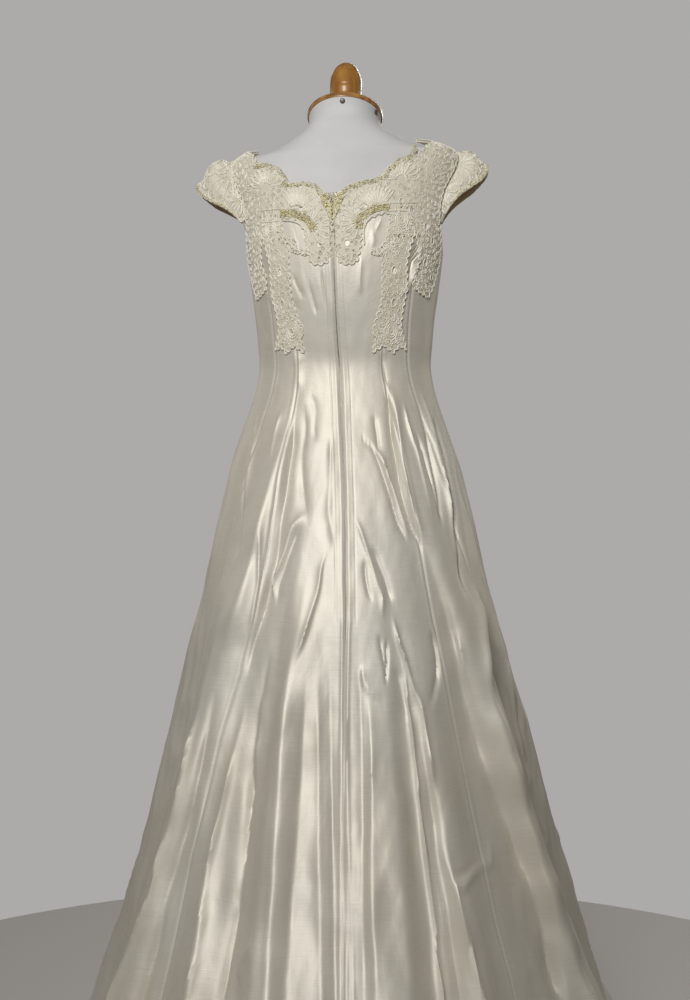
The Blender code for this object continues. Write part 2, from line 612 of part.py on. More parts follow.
def laid(places, tree):
    """Points on the dress, raised to the panels' flat faces where those stand higher, and the normals there."""
    points, normals = on_dress(places), dress_normal(places[:, 0], places[:, 1])
    for i, (point, normal) in enumerate(zip(points, normals)):
        hit = tree.ray_cast(Vector(point + normal * 0.02), Vector(-normal), 0.02)[0]
        if hit is not None:
            points[i] = hit
    return points, normals


def gap_rows(rows, sign=1.0):
    """Rows of (angle, row position, half width, half height) for a table of gaps, on one side of the back."""
    places = twisted(mirrored(line([row[:2] for row in rows]), sign))
    return [(*place, *row[2:]) for place, row in zip(places, rows)]


def plate(name, outline, spacing, slot, tree, gaps=()):
    """A thin applique over the dress inside an outline of (angle, row position) places, cut through at gaps."""
    around = 0.14 * math.pi / 180.0
    t = np.linspace(0.0, len(DRESS_ROWS) - 1.0, 3000)
    profile = spline(DRESS_ROWS, t)
    run = np.concatenate([[0.0], np.cumsum(np.hypot(np.diff(profile[:, 0]), np.diff(profile[:, 1])))])
    flat = np.stack([outline[:, 0] * around, np.interp(outline[:, 1], t, run)], -1)
    edge = []
    for here, after in zip(flat, np.roll(flat, -1, axis=0)):
        steps = max(1, int(np.ceil(np.linalg.norm(after - here) / spacing)))
        edge += [here + (after - here) * k / steps for k in range(steps)]
    edge = np.array(edge)
    bounds = [(i, (i + 1) % len(edge)) for i in range(len(edge))]
    turn = np.arange(GAP_SIDES) * 2 * math.pi / GAP_SIDES
    holes, first = [], len(edge)
    for angle, row, wide, tall in gaps:
        centre = np.array([angle * around, np.interp(row, t, run)])
        holes.append(centre + np.stack([wide * np.sin(turn), tall * np.cos(turn)], -1))
        bounds += [(first + i, first + (i + 1) % GAP_SIDES) for i in range(GAP_SIDES)]
        first += GAP_SIDES
    rims = np.vstack([edge] + holes)
    low, high = edge.min(0), edge.max(0)
    filling = []
    for i, y in enumerate(np.arange(low[1], high[1], spacing * 0.9)):
        for x in np.arange(low[0] + (i % 2) * spacing / 2, high[0], spacing):
            if inside((x, y), edge) and np.linalg.norm(rims - (x, y), axis=1).min() > spacing * 0.55:
                filling.append((x, y))
    points2d = [Vector(p) for p in np.vstack([rims] + ([filling] if filling else []))]
    verts, _, triangles, *_ = delaunay_2d_cdt(points2d, bounds, [], 0, 1e-7)
    flat = np.array([tuple(v) for v in verts])
    kept = []
    for tri in triangles:
        middle = flat[list(tri)].mean(0)
        if inside(middle, edge) and not any(inside(middle, hole) for hole in holes):
            kept.append(tri)
    places = np.stack([flat[:, 0] / around, np.interp(flat[:, 1], run, t)], -1)
    ground, normals = laid(places, tree)
    gap = np.interp(ground[:, 2], SHOULDER_HEIGHTS, (LACE_GAP, LACE_GAP_SHOULDER))[:, None]
    lower, upper = ground + normals * gap, ground + normals * (gap + LACE_THICK)
    count = len(flat)
    faces = [tuple(tri) for tri in kept] + [tuple(count + k for k in reversed(tri)) for tri in kept]
    uses = {}
    for tri in kept:
        for a, b in zip(tri, tri[1:] + tri[:1]):
            uses[(a, b)] = True
    for a, b in uses:
        if (b, a) not in uses:
            faces += [(b, a, count + a), (b, count + a, count + b)]
    points = np.concatenate([lower, upper])
    used = sorted({k for face in faces for k in face})
    index = {k: n for n, k in enumerate(used)}
    return add_mesh(name, points[used], [tuple(index[k] for k in face) for face in faces], slot)


def make_lace(halves, tree):
    shoulder_clear = np.array([-0.35, 0.0])
    armhole_clear = np.linspace([-6.0, 0.0], [-3.0, 0.0], 6)
    for key, side in SIDES.items():
        lines = halves[key]
        neck = spread(lines["neck_back"], 16)[1:]
        shoulder = spread(lines["shoulder_in"], 2) + shoulder_clear
        armhole = spread(lines["outer_and_armhole"][LOWER_ROWS:], 5)[::-1] + armhole_clear
        outline = np.vstack([neck[:-1], shoulder, armhole[1:-1], line(LACE_BACK)])
        plate(f"lace_back_{key}", twisted(mirrored(outline, side["sign"])), 0.0150, "lace", tree,
              gap_rows(LACE_GAPS_BACK, side["sign"]))
    halves_front = []
    for key in ("left", "right"):
        lines = halves[key]
        neck = spread(lines["neck_front"], 10)
        shoulder = spread(lines["shoulder_in"], 2) - shoulder_clear
        armhole = spread(np.vstack([line(ARMHOLE_FRONT), lines["shoulder_out"][-1]]), 5)[::-1] - armhole_clear
        halves_front.append(np.vstack([neck[:-1], shoulder, armhole[1:-1], line(LACE_FRONT)]))
    left, right = halves_front
    right = right * np.array([-1.0, 1.0]) + np.array([360.0, 0.0])
    outline = np.vstack([left, right[::-1][1:-1]])
    gaps = [(angle % 360.0, *rest) for sign in (1.0, -1.0) for angle, *rest in gap_rows(LACE_GAPS_FRONT, sign)]
    plate("lace_front", twisted(outline), 0.0150, "lace", tree, gaps)


# Dress form and stand
def turned(name, profile, slot, steps, place=Matrix.Identity(4)):
    """A solid of revolution from (radius, height) points, bottom to top, with both ends on the axis."""
    ring = [(math.cos(2 * math.pi * k / steps), math.sin(2 * math.pi * k / steps)) for k in range(steps)]
    points, faces = [(0.0, 0.0, profile[0][1])], []
    for radius, height in profile[1:-1]:
        points += [(radius * c, radius * s, height) for c, s in ring]
    points.append((0.0, 0.0, profile[-1][1]))
    rows = len(profile) - 2
    for k in range(steps):
        after = (k + 1) % steps
        faces.append((0, 1 + after, 1 + k))
        for i in range(rows - 1):
            low, high = 1 + i * steps, 1 + (i + 1) * steps
            faces.append((low + k, low + after, high + after, high + k))
        faces.append((1 + (rows - 1) * steps + k, 1 + (rows - 1) * steps + after, len(points) - 1))
    made = add_mesh(name, points, faces, slot)
    made.matrix_world = place
    return made


def form_point(angle, t):
    """The form's cover: the body, drawn in under the cloth."""

    def body(at_angle, at_t):
        return body_point(FORM_ROWS, at_angle, at_t)

    height = spline(FORM_ROWS, t)[..., 0]
    clear = np.interp(height, [row[0] for row in FORM_CLEAR], [row[1] for row in FORM_CLEAR])
    return body(angle, t) - normal_of(body, angle, t) * clear[..., None]


def make_form():
    steps = 44
    angles = np.arange(steps) * 360.0 / steps
    wanted = list(range(15)) + list(np.linspace(15.0, len(FORM_ROWS) - 1.0, 12))
    rings = [form_point(angles, np.full(steps, t)) for t in wanted]
    foot = rings[0].copy()
    foot[:, :2] *= 0.90
    foot[:, 2] -= 0.012
    rings = [foot] + rings
    points = np.concatenate(rings + [[(0.0, 0.0, foot[0, 2])], [rings[-1].mean(0)]])
    faces = []
    for i in range(len(rings) - 1):
        for k in range(steps):
            after = (k + 1) % steps
            faces.append((i * steps + k, i * steps + after, (i + 1) * steps + after, (i + 1) * steps + k))
    last = (len(rings) - 1) * steps
    for k in range(steps):
        after = (k + 1) % steps
        faces.append((len(points) - 2, after, k))
        faces.append((len(points) - 1, last + k, last + after))
    add_mesh("form_torso", points, faces, "form_cover")
    return foot[0, 2]


def make_cap_and_finial():
    tilt = Matrix.Rotation(CAP_TILT, 4, "X")
    up = tilt @ Vector((0.0, 0.0, 1.0))
    underside = Vector((0.0, 0.0, NECK_TOP)) + up * SEAM_GAP
    edge = 0.0035
    cap = [(0.0, 0.0), (CAP_RADIUS - edge, 0.0), (CAP_RADIUS - edge * 0.3, edge * 0.3), (CAP_RADIUS, edge),
           (CAP_RADIUS, CAP_THICK - edge), (CAP_RADIUS - edge * 0.3, CAP_THICK - edge * 0.3),
           (CAP_RADIUS - edge, CAP_THICK), (0.0, CAP_THICK)]
    turned("form_neck_cap", cap, "wood", 40, Matrix.Translation(underside) @ tilt)
    foot = underside + up * (CAP_THICK + SEAM_GAP)
    knob_radius, knob_height = 0.0240, 0.0880
    knob = [(0.0, 0.0), (0.60, 0.0), (0.66, 0.05), (0.56, 0.13), (0.62, 0.20), (0.84, 0.30),
            (0.965, 0.42), (0.945, 0.445), (1.0, 0.47), (1.0, 0.60), (0.97, 0.70), (0.90, 0.765),
            (0.865, 0.775), (0.85, 0.80), (0.68, 0.90), (0.40, 0.975), (0.0, 1.0)]
    knob = [(radius * knob_radius, height * knob_height) for radius, height in knob]
    turned("form_finial", knob, "wood", 28, Matrix.Translation(foot) @ tilt)


def make_pins():
    """Round-headed pins that hold the neck cap, standing on the neck just under it."""
    head, rise = 0.0040, 0.0026
    profile = [(0.0, 0.0), (head, 0.0), (head * 0.94, rise * 0.4), (head * 0.66, rise * 0.82), (0.0, rise)]
    for number, angle in enumerate((0.0, -62.0), 1):
        t = len(FORM_ROWS) - 1.0 - 0.60

        def neck(at_angle, at_t):
            return body_point(FORM_ROWS, at_angle, at_t)

        normal = Vector(normal_of(neck, np.array(angle), np.array(t)))
        foot = Vector(neck(np.array(angle), np.array(t))) + normal * 2 * SEAM_GAP
        place = Matrix.Translation(foot) @ normal.to_track_quat("Z", "Y").to_matrix().to_4x4()
        turned(f"form_pin_{number}", profile, "steel", 12, place)


def make_stand(torso_foot):
    rim = 0.004
    base = [(0.0, 0.0), (BASE_RADIUS - rim, 0.0), (BASE_RADIUS, rim), (BASE_RADIUS, BASE_THICK - rim),
            (BASE_RADIUS - rim, BASE_THICK), (0.0, BASE_THICK)]
    turned("stand_base", base, "wood", 48)
    flange = 0.038
    bottom, top = BASE_THICK + SEAM_GAP, torso_foot - SEAM_GAP
    pole = [(0.0, bottom), (flange, bottom), (flange, bottom + 0.006), (POLE_RADIUS, bottom + 0.022),
            (POLE_RADIUS, top - 0.020), (flange, top - 0.006), (flange, top), (0.0, top)]
    turned("stand_pole", pole, "steel", 24)


def main():
    clear_scene()
    halves, grids = make_panels()
    make_sleeves(halves)
    make_zip(halves)
    make_lace(halves, cloth_tree(grids))
    torso_foot = make_form()
    make_cap_and_finial()
    make_pins()
    make_stand(torso_foot)


main()
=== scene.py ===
"""The looks of a wedding dress on a limbless dress form.

The surface functions and tables repeat those of the CAD part, so that every piece lies on its form.
"""

import math

import bpy
import numpy as np
from mathutils import Matrix, Vector
from mathutils.geometry import delaunay_2d_cdt


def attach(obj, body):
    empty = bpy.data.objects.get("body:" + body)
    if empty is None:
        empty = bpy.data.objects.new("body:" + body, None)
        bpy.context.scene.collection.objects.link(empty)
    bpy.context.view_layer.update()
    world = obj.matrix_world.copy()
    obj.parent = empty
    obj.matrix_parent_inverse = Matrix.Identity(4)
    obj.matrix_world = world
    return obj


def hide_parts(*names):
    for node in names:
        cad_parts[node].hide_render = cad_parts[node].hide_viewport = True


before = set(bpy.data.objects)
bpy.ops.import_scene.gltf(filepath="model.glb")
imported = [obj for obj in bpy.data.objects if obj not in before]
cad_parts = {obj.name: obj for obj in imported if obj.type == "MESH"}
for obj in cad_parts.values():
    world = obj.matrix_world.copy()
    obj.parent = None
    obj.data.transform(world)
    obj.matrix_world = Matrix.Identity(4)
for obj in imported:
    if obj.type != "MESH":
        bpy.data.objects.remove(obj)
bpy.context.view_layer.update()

# Driving sizes
WALL = 0.0020            # silk, interlining and lining together
SEAM_GAP = 0.0003        # clear space between two pieces that meet
HEM_HEIGHT = 0.0020      # the hem just clears the floor
ZIP_BOTTOM = 0.735       # height of the lower end of the zip
FORM_BOTTOM = 0.735
NECK_TOP = 1.4650
CAP_RADIUS = 0.0565
CAP_THICK = 0.0100
CAP_TILT = math.radians(20.0)


# Body sections: height, half width, depth to the back, depth to the front, ease of the cloth
TORSO = (
    (1.0900, 0.1205, 0.0745, 0.0960, 0.0060),
    (1.1300, 0.1225, 0.0790, 0.1040, 0.0060),
    (1.1700, 0.1270, 0.0860, 0.1150, 0.0055),
    (1.2100, 0.1330, 0.0910, 0.1215, 0.0050),
    (1.2400, 0.1375, 0.0925, 0.1200, 0.0045),
    (1.2700, 0.1420, 0.0920, 0.1140, 0.0040),
    (1.3100, 0.1475, 0.0885, 0.1040, 0.0030),
    (1.3450, 0.1545, 0.0830, 0.0940, 0.0020),
    (1.3700, 0.1620, 0.0785, 0.0860, 0.0013),
    (1.3880, 0.1660, 0.0750, 0.0805, 0.0010),
    (1.3990, 0.1660, 0.0728, 0.0778, 0.0009),
    (1.4072, 0.1610, 0.0710, 0.0755, 0.0009),
    (1.4135, 0.1500, 0.0690, 0.0730, 0.0009),
    (1.4190, 0.1310, 0.0665, 0.0700, 0.0009),
    (1.4250, 0.1120, 0.0645, 0.0675, 0.0009),
    (1.4320, 0.0920, 0.0620, 0.0640, 0.0009),
    (1.4410, 0.0680, 0.0575, 0.0590, 0.0009),
    (1.4480, 0.0570, 0.0560, 0.0565, 0.0009),
    (1.4560, 0.0535, 0.0535, 0.0535, 0.0009),
    (NECK_TOP, 0.0540, 0.0540, 0.0540, 0.0009),
)
HIPS = (
    (FORM_BOTTOM, 0.1560, 0.1000, 0.0980, 0.0),
    (0.8000, 0.1680, 0.1110, 0.1070, 0.0),
    (0.8800, 0.1690, 0.1150, 0.1110, 0.0),
    (0.9400, 0.1590, 0.1060, 0.1090, 0.0),
    (1.0000, 0.1420, 0.0910, 0.1040, 0.0),
    (1.0500, 0.1265, 0.0790, 0.0980, 0.0),
)
SKIRT = (
    (0.0000, 0.4050, 0.5600, 0.3350, 0.0),
    (0.1300, 0.3600, 0.4700, 0.2950, 0.0),
    (0.2700, 0.3150, 0.3850, 0.2550, 0.0),
    (0.4200, 0.2740, 0.3070, 0.2180, 0.0),
    (0.5700, 0.2420, 0.2450, 0.1870, 0.0),
    (0.7000, 0.2190, 0.2030, 0.1640, 0.0),
    (0.8000, 0.2010, 0.1720, 0.1480, 0.0005),
    (0.8800, 0.1850, 0.1460, 0.1360, 0.0010),
    (0.9400, 0.1690, 0.1230, 0.1240, 0.0020),
    (1.0000, 0.1470, 0.0980, 0.1120, 0.0040),
    (1.0500, 0.1280, 0.0810, 0.1000, 0.0060),
)
# How far the form's cover stands back from the body sections: height, depth
FORM_CLEAR = ((0.735, 0.003), (1.10, 0.003), (1.15, 0.005), (1.21, 0.009), (1.27, 0.005),
              (1.36, 0.004), (1.39, 0.006), (1.415, 0.006), (1.432, 0.0035), (1.447, 0.0))
SHOULDER_LEAN = 0.028    # the wearer's right shoulder stands this much of its distance higher
BUST = {"angle": 143.0, "height": 1.212, "rise": 0.0150, "wide": 22.0, "tall": 0.052}

# Flutes of the skirt: angle at hip, knee and hem, top height, rise at the hem, half width, skew
FOLDS = (
    (2.0, 2.0, 1.0, 0.62, 0.014, 4.0, 0.0),
    (12.0, 15.5, 12.5, 0.92, 0.040, 6.5, 0.35),
    (34.0, 37.0, 27.0, 0.66, 0.022, 5.0, -0.20),
    (35.0, 46.5, 56.0, 1.06, 0.048, 9.0, -0.15),
    (68.0, 80.0, 88.0, 0.98, 0.026, 10.0, 0.0),
    (101.0, 110.0, 115.0, 0.92, 0.036, 11.0, 0.20),
    (132.0, 137.0, 139.0, 0.95, 0.036, 10.0, 0.0),
    (166.0, 163.5, 162.0, 0.86, 0.034, 9.0, 0.0),
    (-14.0, -17.5, -18.0, 0.84, 0.036, 9.5, -0.50),
    (-25.0, -32.0, -37.0, 0.78, 0.034, 5.5, 0.25),
    (-40.0, -61.0, -80.0, 1.06, 0.050, 10.0, 0.15),
    (-64.0, -88.0, -104.0, 1.06, 0.044, 10.0, 0.0),
    (-104.0, -114.0, -128.0, 0.92, 0.032, 10.0, 0.0),
    (-133.0, -140.0, -148.0, 0.95, 0.036, 9.0, 0.25),
    (-168.0, -165.0, -166.0, 0.86, 0.030, 8.0, 0.0),
)
KNEE = 0.50
HIP = 0.95

# Sideways turn of the whole garment on the form: height, degrees at the centre back
TWIST = ((0.0, -4.5), (0.34, -4.5), (0.50, -3.5), (0.74, -4.0), (0.87, -3.2), (0.965, -1.8), (1.07, 0.4),
         (1.11, 2.0), (1.18, 3.2), (1.25, 4.0), (1.33, 4.6), (1.47, 4.6))

# Seams from hem to top: height, angle
INNER_SEAM = ((0.0, 46.0), (0.40, 43.0), (0.57, 40.0), (0.76, 33.5), (0.93, 30.5), (1.09, 29.0),
              (1.195, 33.0), (1.27, 39.5), (1.33, 50.0), (1.375, 63.0))
OUTER_SEAM = ((0.0, 73.0), (0.40, 68.0), (0.57, 64.0), (0.76, 58.0), (0.93, 54.0), (1.083, 50.0),
              (1.195, 49.5), (1.27, 56.0))
SIDE_SEAM = ((0.0, 102.0), (0.57, 97.0), (0.90, 92.0), (1.083, 90.0))
FRONT_SEAM = ((0.0, 148.0), (0.57, 148.0), (0.90, 149.0), (1.09, 150.0), (1.21, 143.0), (1.30, 134.0),
              (1.36, 120.0), (1.385, 108.0))

# Openings of the bodice: angle, height
NECK_BACK = ((0.0, 1.333), (7.0, 1.3375), (9.0, 1.345), (13.0, 1.3505), (19.0, 1.3525), (26.3, 1.3553),
             (27.3, 1.3645), (30.0, 1.377), (36.0, 1.383), (43.0, 1.389), (47.5, 1.400), (52.0, 1.407))
NECK_FRONT = ((180.0, 1.285), (170.0, 1.289), (160.0, 1.297), (152.0, 1.311), (144.0, 1.333),
              (135.0, 1.360), (121.0, 1.391), (107.0, 1.408))
ARMHOLE_BACK = ((73.0, 1.298), (71.5, 1.322), (72.5, 1.347), (75.5, 1.362), (81.0, 1.378))
ARMHOLE_FRONT = ((113.0, 1.298), (113.5, 1.325), (112.0, 1.347), (108.0, 1.364), (101.0, 1.380))
UNDERARM = 1.258
UNDERARM_BACK = ((78.0, 1.281), (83.0, 1.267))
UNDERARM_FRONT = ((96.0, 1.262), (104.0, 1.272), (109.0, 1.284))

# Shoulder line of each side, as distances from the centre, and its cap sleeve
SIDES = {
    "left": {"sign": 1.0, "neck": 0.1290, "seam": 0.1440, "tip": 0.1575, "cap": 0.062, "droop": 31.0,
             "crown": 0.26},
    "right": {"sign": -1.0, "neck": 0.1050, "seam": 0.1370, "tip": 0.1600, "cap": 0.047, "droop": 23.0,
              "crown": 0.21},
}

# Rows of the cloth grid up to the armhole, as heights, and the rows above it
ROW_HEIGHTS = (HEM_HEIGHT, 0.13, 0.27, 0.42, 0.57, ZIP_BOTTOM, 0.82, 0.89, 0.95, 1.00, 1.045,
               1.085, 1.125, 1.165, 1.205, 1.240)
ROWS_ABOVE = 8
LOWER_ROWS = len(ROW_HEIGHTS)


# Sections and the surfaces lofted through them
def spline(rows, t):
    """Smooth values at the row positions t, through rows of numbers."""
    rows = np.asarray(rows, float)
    t = np.clip(np.asarray(t, float), 0.0, len(rows) - 1.0)
    i = np.clip(np.floor(t).astype(int), 0, len(rows) - 2)
    f = (t - i)[..., None]
    before, here, after, beyond = (rows[np.clip(i + k, 0, len(rows) - 1)] for k in (-1, 0, 1, 2))
    return 0.5 * (
        2 * here + (after - before) * f
        + (2 * before - 5 * here + 4 * after - beyond) * f ** 2
        + (3 * here - before - 3 * after + beyond) * f ** 3
    )


def smooth_step(x):
    x = np.clip(x, 0.0, 1.0)
    return x * x * (3 - 2 * x)


def row_of_height(rows, height):
    t = np.linspace(0.0, len(rows) - 1.0, 2000)
    return np.interp(height, spline(rows, t)[:, 0], t)


def row_of_half_width(rows, half_width):
    """The row position on the shoulder slope, where the body narrows upwards to this half width."""
    t = np.linspace(row_of_height(rows, 1.370), len(rows) - 1.0, 1600)
    widths = spline(rows, t)[:, 1]
    start = int(np.argmax(widths))
    return float(np.interp(-half_width, -widths[start:], t[start:]))


def body_point(rows, angle, t):
    """Points of the lofted body itself."""
    height, half_width, back, front, _ = np.moveaxis(spline(rows, t), -1, 0)
    a = np.radians(angle)
    depth = np.where(np.cos(a) > 0, back, front)
    x = half_width * np.sin(a)
    y = depth * np.cos(a)
    for side in (1.0, -1.0):
        off = (np.abs((angle - side * BUST["angle"] + 180.0) % 360.0 - 180.0)) / BUST["wide"]
        rise = BUST["rise"] * np.exp(-off ** 2 - ((height - BUST["height"]) / BUST["tall"]) ** 2)
        x = x + rise * np.sin(a)
        y = y + rise * np.cos(a)
    tilt = smooth_step((height - 1.425) / (NECK_TOP - 1.425))
    lean = SHOULDER_LEAN * smooth_step((height - 1.20) / 0.16) * (1.0 - smooth_step((height - 1.420) / 0.030))
    height = height + tilt * y * math.tan(CAP_TILT) - lean * x
    return np.stack([x, y, height], -1)


def normal_of(point_function, angle, t):
    step_angle, step_t = 0.25, 0.01
    across = point_function(angle + step_angle, t) - point_function(angle - step_angle, t)
    up = point_function(angle, t + step_t) - point_function(angle, t - step_t)
    normal = np.cross(up, across)
    return normal / np.maximum(np.linalg.norm(normal, axis=-1, keepdims=True), 1e-12)


FORM_ROWS = HIPS + TORSO
DRESS_ROWS = SKIRT + TORSO


def fold_rise(angle, height):
    """How far the flutes stand out from the skirt's valleys."""
    total = np.zeros(np.broadcast(angle, height).shape)
    for hip, knee, hem, top, rise, half, skew in FOLDS:
        low = np.clip(height / KNEE, 0.0, 1.0)
        high = np.clip((height - KNEE) / (HIP - KNEE), 0.0, 1.3)
        centre = np.where(height < KNEE, hem + (knee - hem) * low, knee + (hip - knee) * high)
        fade = smooth_step((top - height) / (0.55 * top)) * (0.35 + 0.65 * np.clip(1.0 - height / top, 0, 1))
        off = ((angle - centre + 180.0) % 360.0 - 180.0) / half
        off = off / np.where(off > 0, 1.0 - skew, 1.0 + skew)
        total = total + rise * fade * np.exp(-np.abs(off) ** 2.2)
    return total


def dress_point(angle, t):
    """Points of the dress's outer face."""
    angle, t = np.broadcast_arrays(np.asarray(angle, float), np.asarray(t, float))

    def base(at_angle, at_t):
        return body_point(DRESS_ROWS, at_angle, at_t)

    row = spline(DRESS_ROWS, t)
    point = base(angle, t) + normal_of(base, angle, t) * (row[..., 4] + WALL)[..., None]
    a = np.radians(angle)
    depth = np.where(np.cos(a) > 0, row[..., 2], row[..., 3])
    level = np.stack([np.sin(a) / row[..., 1], np.cos(a) / depth, 0 * a], -1)
    level = level / np.linalg.norm(level, axis=-1, keepdims=True)
    return point + level * fold_rise(angle, row[..., 0])[..., None]


def dress_normal(angle, t):
    return normal_of(dress_point, np.asarray(angle, float), np.asarray(t, float))


def on_dress(places, lift=0.0):
    """Points on the dress at (angle, row position) pairs, moved out by lift."""
    places = np.asarray(places, float)
    angle, t = places[..., 0], places[..., 1]
    return dress_point(angle, t) + dress_normal(angle, t) * np.asarray(lift)[..., None]


def twisted(places):
    """Turns (angle, row position) pairs as the garment is turned on the form."""
    places = np.array(places, float)
    height = spline(DRESS_ROWS, places[..., 1])[..., 0]
    turn = np.interp(height, [row[0] for row in TWIST], [row[1] for row in TWIST])
    places[..., 0] += turn * np.cos(np.radians(places[..., 0]))
    return places


# Cutting lines, as lists of (angle, row position)
def line(pairs):
    """(angle, height) pairs as (angle, row position) pairs."""
    pairs = np.asarray(pairs, float)
    return np.stack([pairs[:, 0], row_of_height(DRESS_ROWS, pairs[:, 1])], -1)


def spread(points, count, corner=None):
    """count + 1 points spread evenly along a line of (angle, row position) points.

    corner = (index, count up to it) keeps that point of the line as one of them.
    """
    points = np.asarray(points, float)
    if corner:
        at, first = corner
        return np.concatenate([spread(points[: at + 1], first), spread(points[at:], count - first)[1:]])
    real = dress_point(points[:, 0], points[:, 1])
    run = np.concatenate([[0.0], np.cumsum(np.linalg.norm(np.diff(real, axis=0), axis=1))])
    wanted = np.linspace(0.0, run[-1], count + 1)
    return np.stack([np.interp(wanted, run, points[:, 0]), np.interp(wanted, run, points[:, 1])], -1)


def lower_line(seam):
    """A seam's points at the shared row heights below the armhole."""
    heights = np.asarray(ROW_HEIGHTS)
    angles = np.interp(heights, [row[0] for row in seam], [row[1] for row in seam])
    return np.stack([angles, row_of_height(DRESS_ROWS, heights)], -1)


def cutting_lines(side):
    """Every seam and edge of one half of the garment, for a side with +X angles."""
    corner, seam_end, tip = (
        (90.0, row_of_half_width(DRESS_ROWS, side[key])) for key in ("neck", "seam", "tip")
    )
    lines = {}
    centre = [(0.0, row_of_height(DRESS_ROWS, height)) for height in ROW_HEIGHTS]
    neck_back = np.vstack([line(NECK_BACK), corner])
    neck_front = np.vstack([line(NECK_FRONT), corner])
    lines["centre_back"] = np.vstack([centre, spread([centre[-1], neck_back[0]], ROWS_ABOVE)[1:]])
    for name, seam in (("inner", INNER_SEAM), ("front", FRONT_SEAM)):
        lower = lower_line(seam)
        above = [lower[-1]] + [row for row in line([(a, h) for h, a in seam]) if row[1] > lower[-1][1] + 0.1]
        lines[name] = np.vstack([lower, spread(np.vstack([above, seam_end]), ROWS_ABOVE)[1:]])
    lower = lower_line(OUTER_SEAM)
    notch = line(ARMHOLE_BACK[:1])[0]
    lines["outer"] = np.vstack([lower, notch])
    lines["outer_and_armhole"] = np.vstack(
        [lower, notch, spread(np.vstack([line(ARMHOLE_BACK), tip]), ROWS_ABOVE - 1)[1:]])
    lower = lower_line(SIDE_SEAM)
    underarm = np.array([90.0, row_of_height(DRESS_ROWS, UNDERARM)])
    lines["side"] = np.vstack([lower, underarm])
    up_front = np.vstack([underarm, line(UNDERARM_FRONT), line(ARMHOLE_FRONT), tip])
    front_corner = 1 + len(UNDERARM_FRONT)
    lines["side_and_armhole"] = np.vstack([lower, spread(up_front, ROWS_ABOVE - 1, (front_corner, 2))])
    lines["underarm"] = np.vstack([notch, line(UNDERARM_BACK), underarm])
    lines["neck_back"], lines["neck_front"] = neck_back, neck_front
    lines["shoulder_in"] = np.array([corner, seam_end])
    lines["shoulder_out"] = np.array([seam_end, tip])
    return lines


def patch(left, right, top):
    """A grid of (angle, row position) filling four edges; its lowest row lies along the hem."""
    rows, columns = len(left), len(top)
    u = np.linspace(0.0, 1.0, columns)[None, :, None]
    v = np.linspace(0.0, 1.0, rows)[:, None, None] ** 3
    hem = left[0] + (right[0] - left[0]) * u
    sides = left[:, None] * (1 - u) + right[:, None] * u
    ends = hem * (1 - v) + np.asarray(top)[None] * v
    corners = (left[0] * (1 - u) + right[0] * u) * (1 - v) + (left[-1] * (1 - u) + right[-1] * u) * v
    return sides + ends - corners


def mirrored(places, sign):
    return places * np.array([sign, 1.0])


def zip_opening(height):
    """Width of the centre back gap over the zip: widest at the waist, closed below the zip."""
    heights = (0.0, ZIP_BOTTOM - 0.04, ZIP_BOTTOM, 0.95, 1.09, 1.20, 1.34)
    widths = (SEAM_GAP, SEAM_GAP, 0.0022, 0.0030, 0.0052, 0.0034, 0.0030)
    return np.interp(height, heights, widths)


# Applique outlines below the neckline: angle, height, from the armhole round to the centre back
LACE_BACK = (
    (69.5, 1.304), (74.0, 1.278), (77.0, 1.250), (72.0, 1.215), (66.0, 1.192), (57.0, 1.198),
    (50.5, 1.205), (50.0, 1.225), (53.5, 1.238), (52.0, 1.262), (49.0, 1.285), (46.0, 1.262),
    (44.0, 1.238), (45.5, 1.200), (43.5, 1.170), (42.5, 1.145), (46.5, 1.125), (48.0, 1.115),
    (42.0, 1.120), (38.0, 1.109), (30.5, 1.120), (23.0, 1.109), (25.5, 1.126), (23.5, 1.140),
    (26.0, 1.160), (29.5, 1.185), (29.0, 1.235), (28.0, 1.255), (31.0, 1.273), (32.5, 1.293),
    (31.5, 1.306), (25.0, 1.304), (19.0, 1.295), (16.0, 1.280), (15.5, 1.260), (13.5, 1.236),
    (9.0, 1.232), (4.0, 1.2345), (1.6, 1.250), (1.6, 1.300), (1.6, 1.328),
)
LACE_FRONT = (
    (115.5, 1.304), (111.0, 1.282), (107.0, 1.256), (108.0, 1.228), (114.0, 1.205), (121.0, 1.212),
    (121.0, 1.240), (124.0, 1.262), (130.0, 1.266), (134.0, 1.245), (135.0, 1.215), (134.0, 1.180),
    (133.0, 1.150), (139.0, 1.128), (147.0, 1.120), (156.0, 1.118), (152.0, 1.142), (150.0, 1.170),
    (150.0, 1.200), (152.0, 1.226), (160.0, 1.238), (168.0, 1.222), (174.0, 1.205), (180.0, 1.196),
)
# The open places between the applique's motifs: angle, height, and half their width and height
LACE_GAPS_BACK = (
    (6.5, 1.298, 0.0026, 0.0060), (12.0, 1.306, 0.0026, 0.0060), (18.0, 1.318, 0.0028, 0.0056),
    (24.5, 1.326, 0.0028, 0.0056), (8.0, 1.262, 0.0034, 0.0042), (38.0, 1.322, 0.0030, 0.0052),
    (45.0, 1.312, 0.0030, 0.0052), (38.5, 1.272, 0.0036, 0.0046), (56.5, 1.290, 0.0032, 0.0050),
    (64.0, 1.272, 0.0034, 0.0046), (59.0, 1.240, 0.0036, 0.0044), (67.5, 1.222, 0.0032, 0.0042),
    (36.0, 1.225, 0.0034, 0.0050), (37.0, 1.180, 0.0034, 0.0050), (32.0, 1.140, 0.0036, 0.0042),
)
LACE_GAPS_FRONT = (
    (122.5, 1.292, 0.0032, 0.0050), (114.5, 1.236, 0.0034, 0.0046), (143.0, 1.282, 0.0032, 0.0052),
    (142.5, 1.232, 0.0034, 0.0050), (142.0, 1.186, 0.0034, 0.0050), (144.0, 1.142, 0.0036, 0.0044),
    (163.0, 1.258, 0.0034, 0.0046),
)


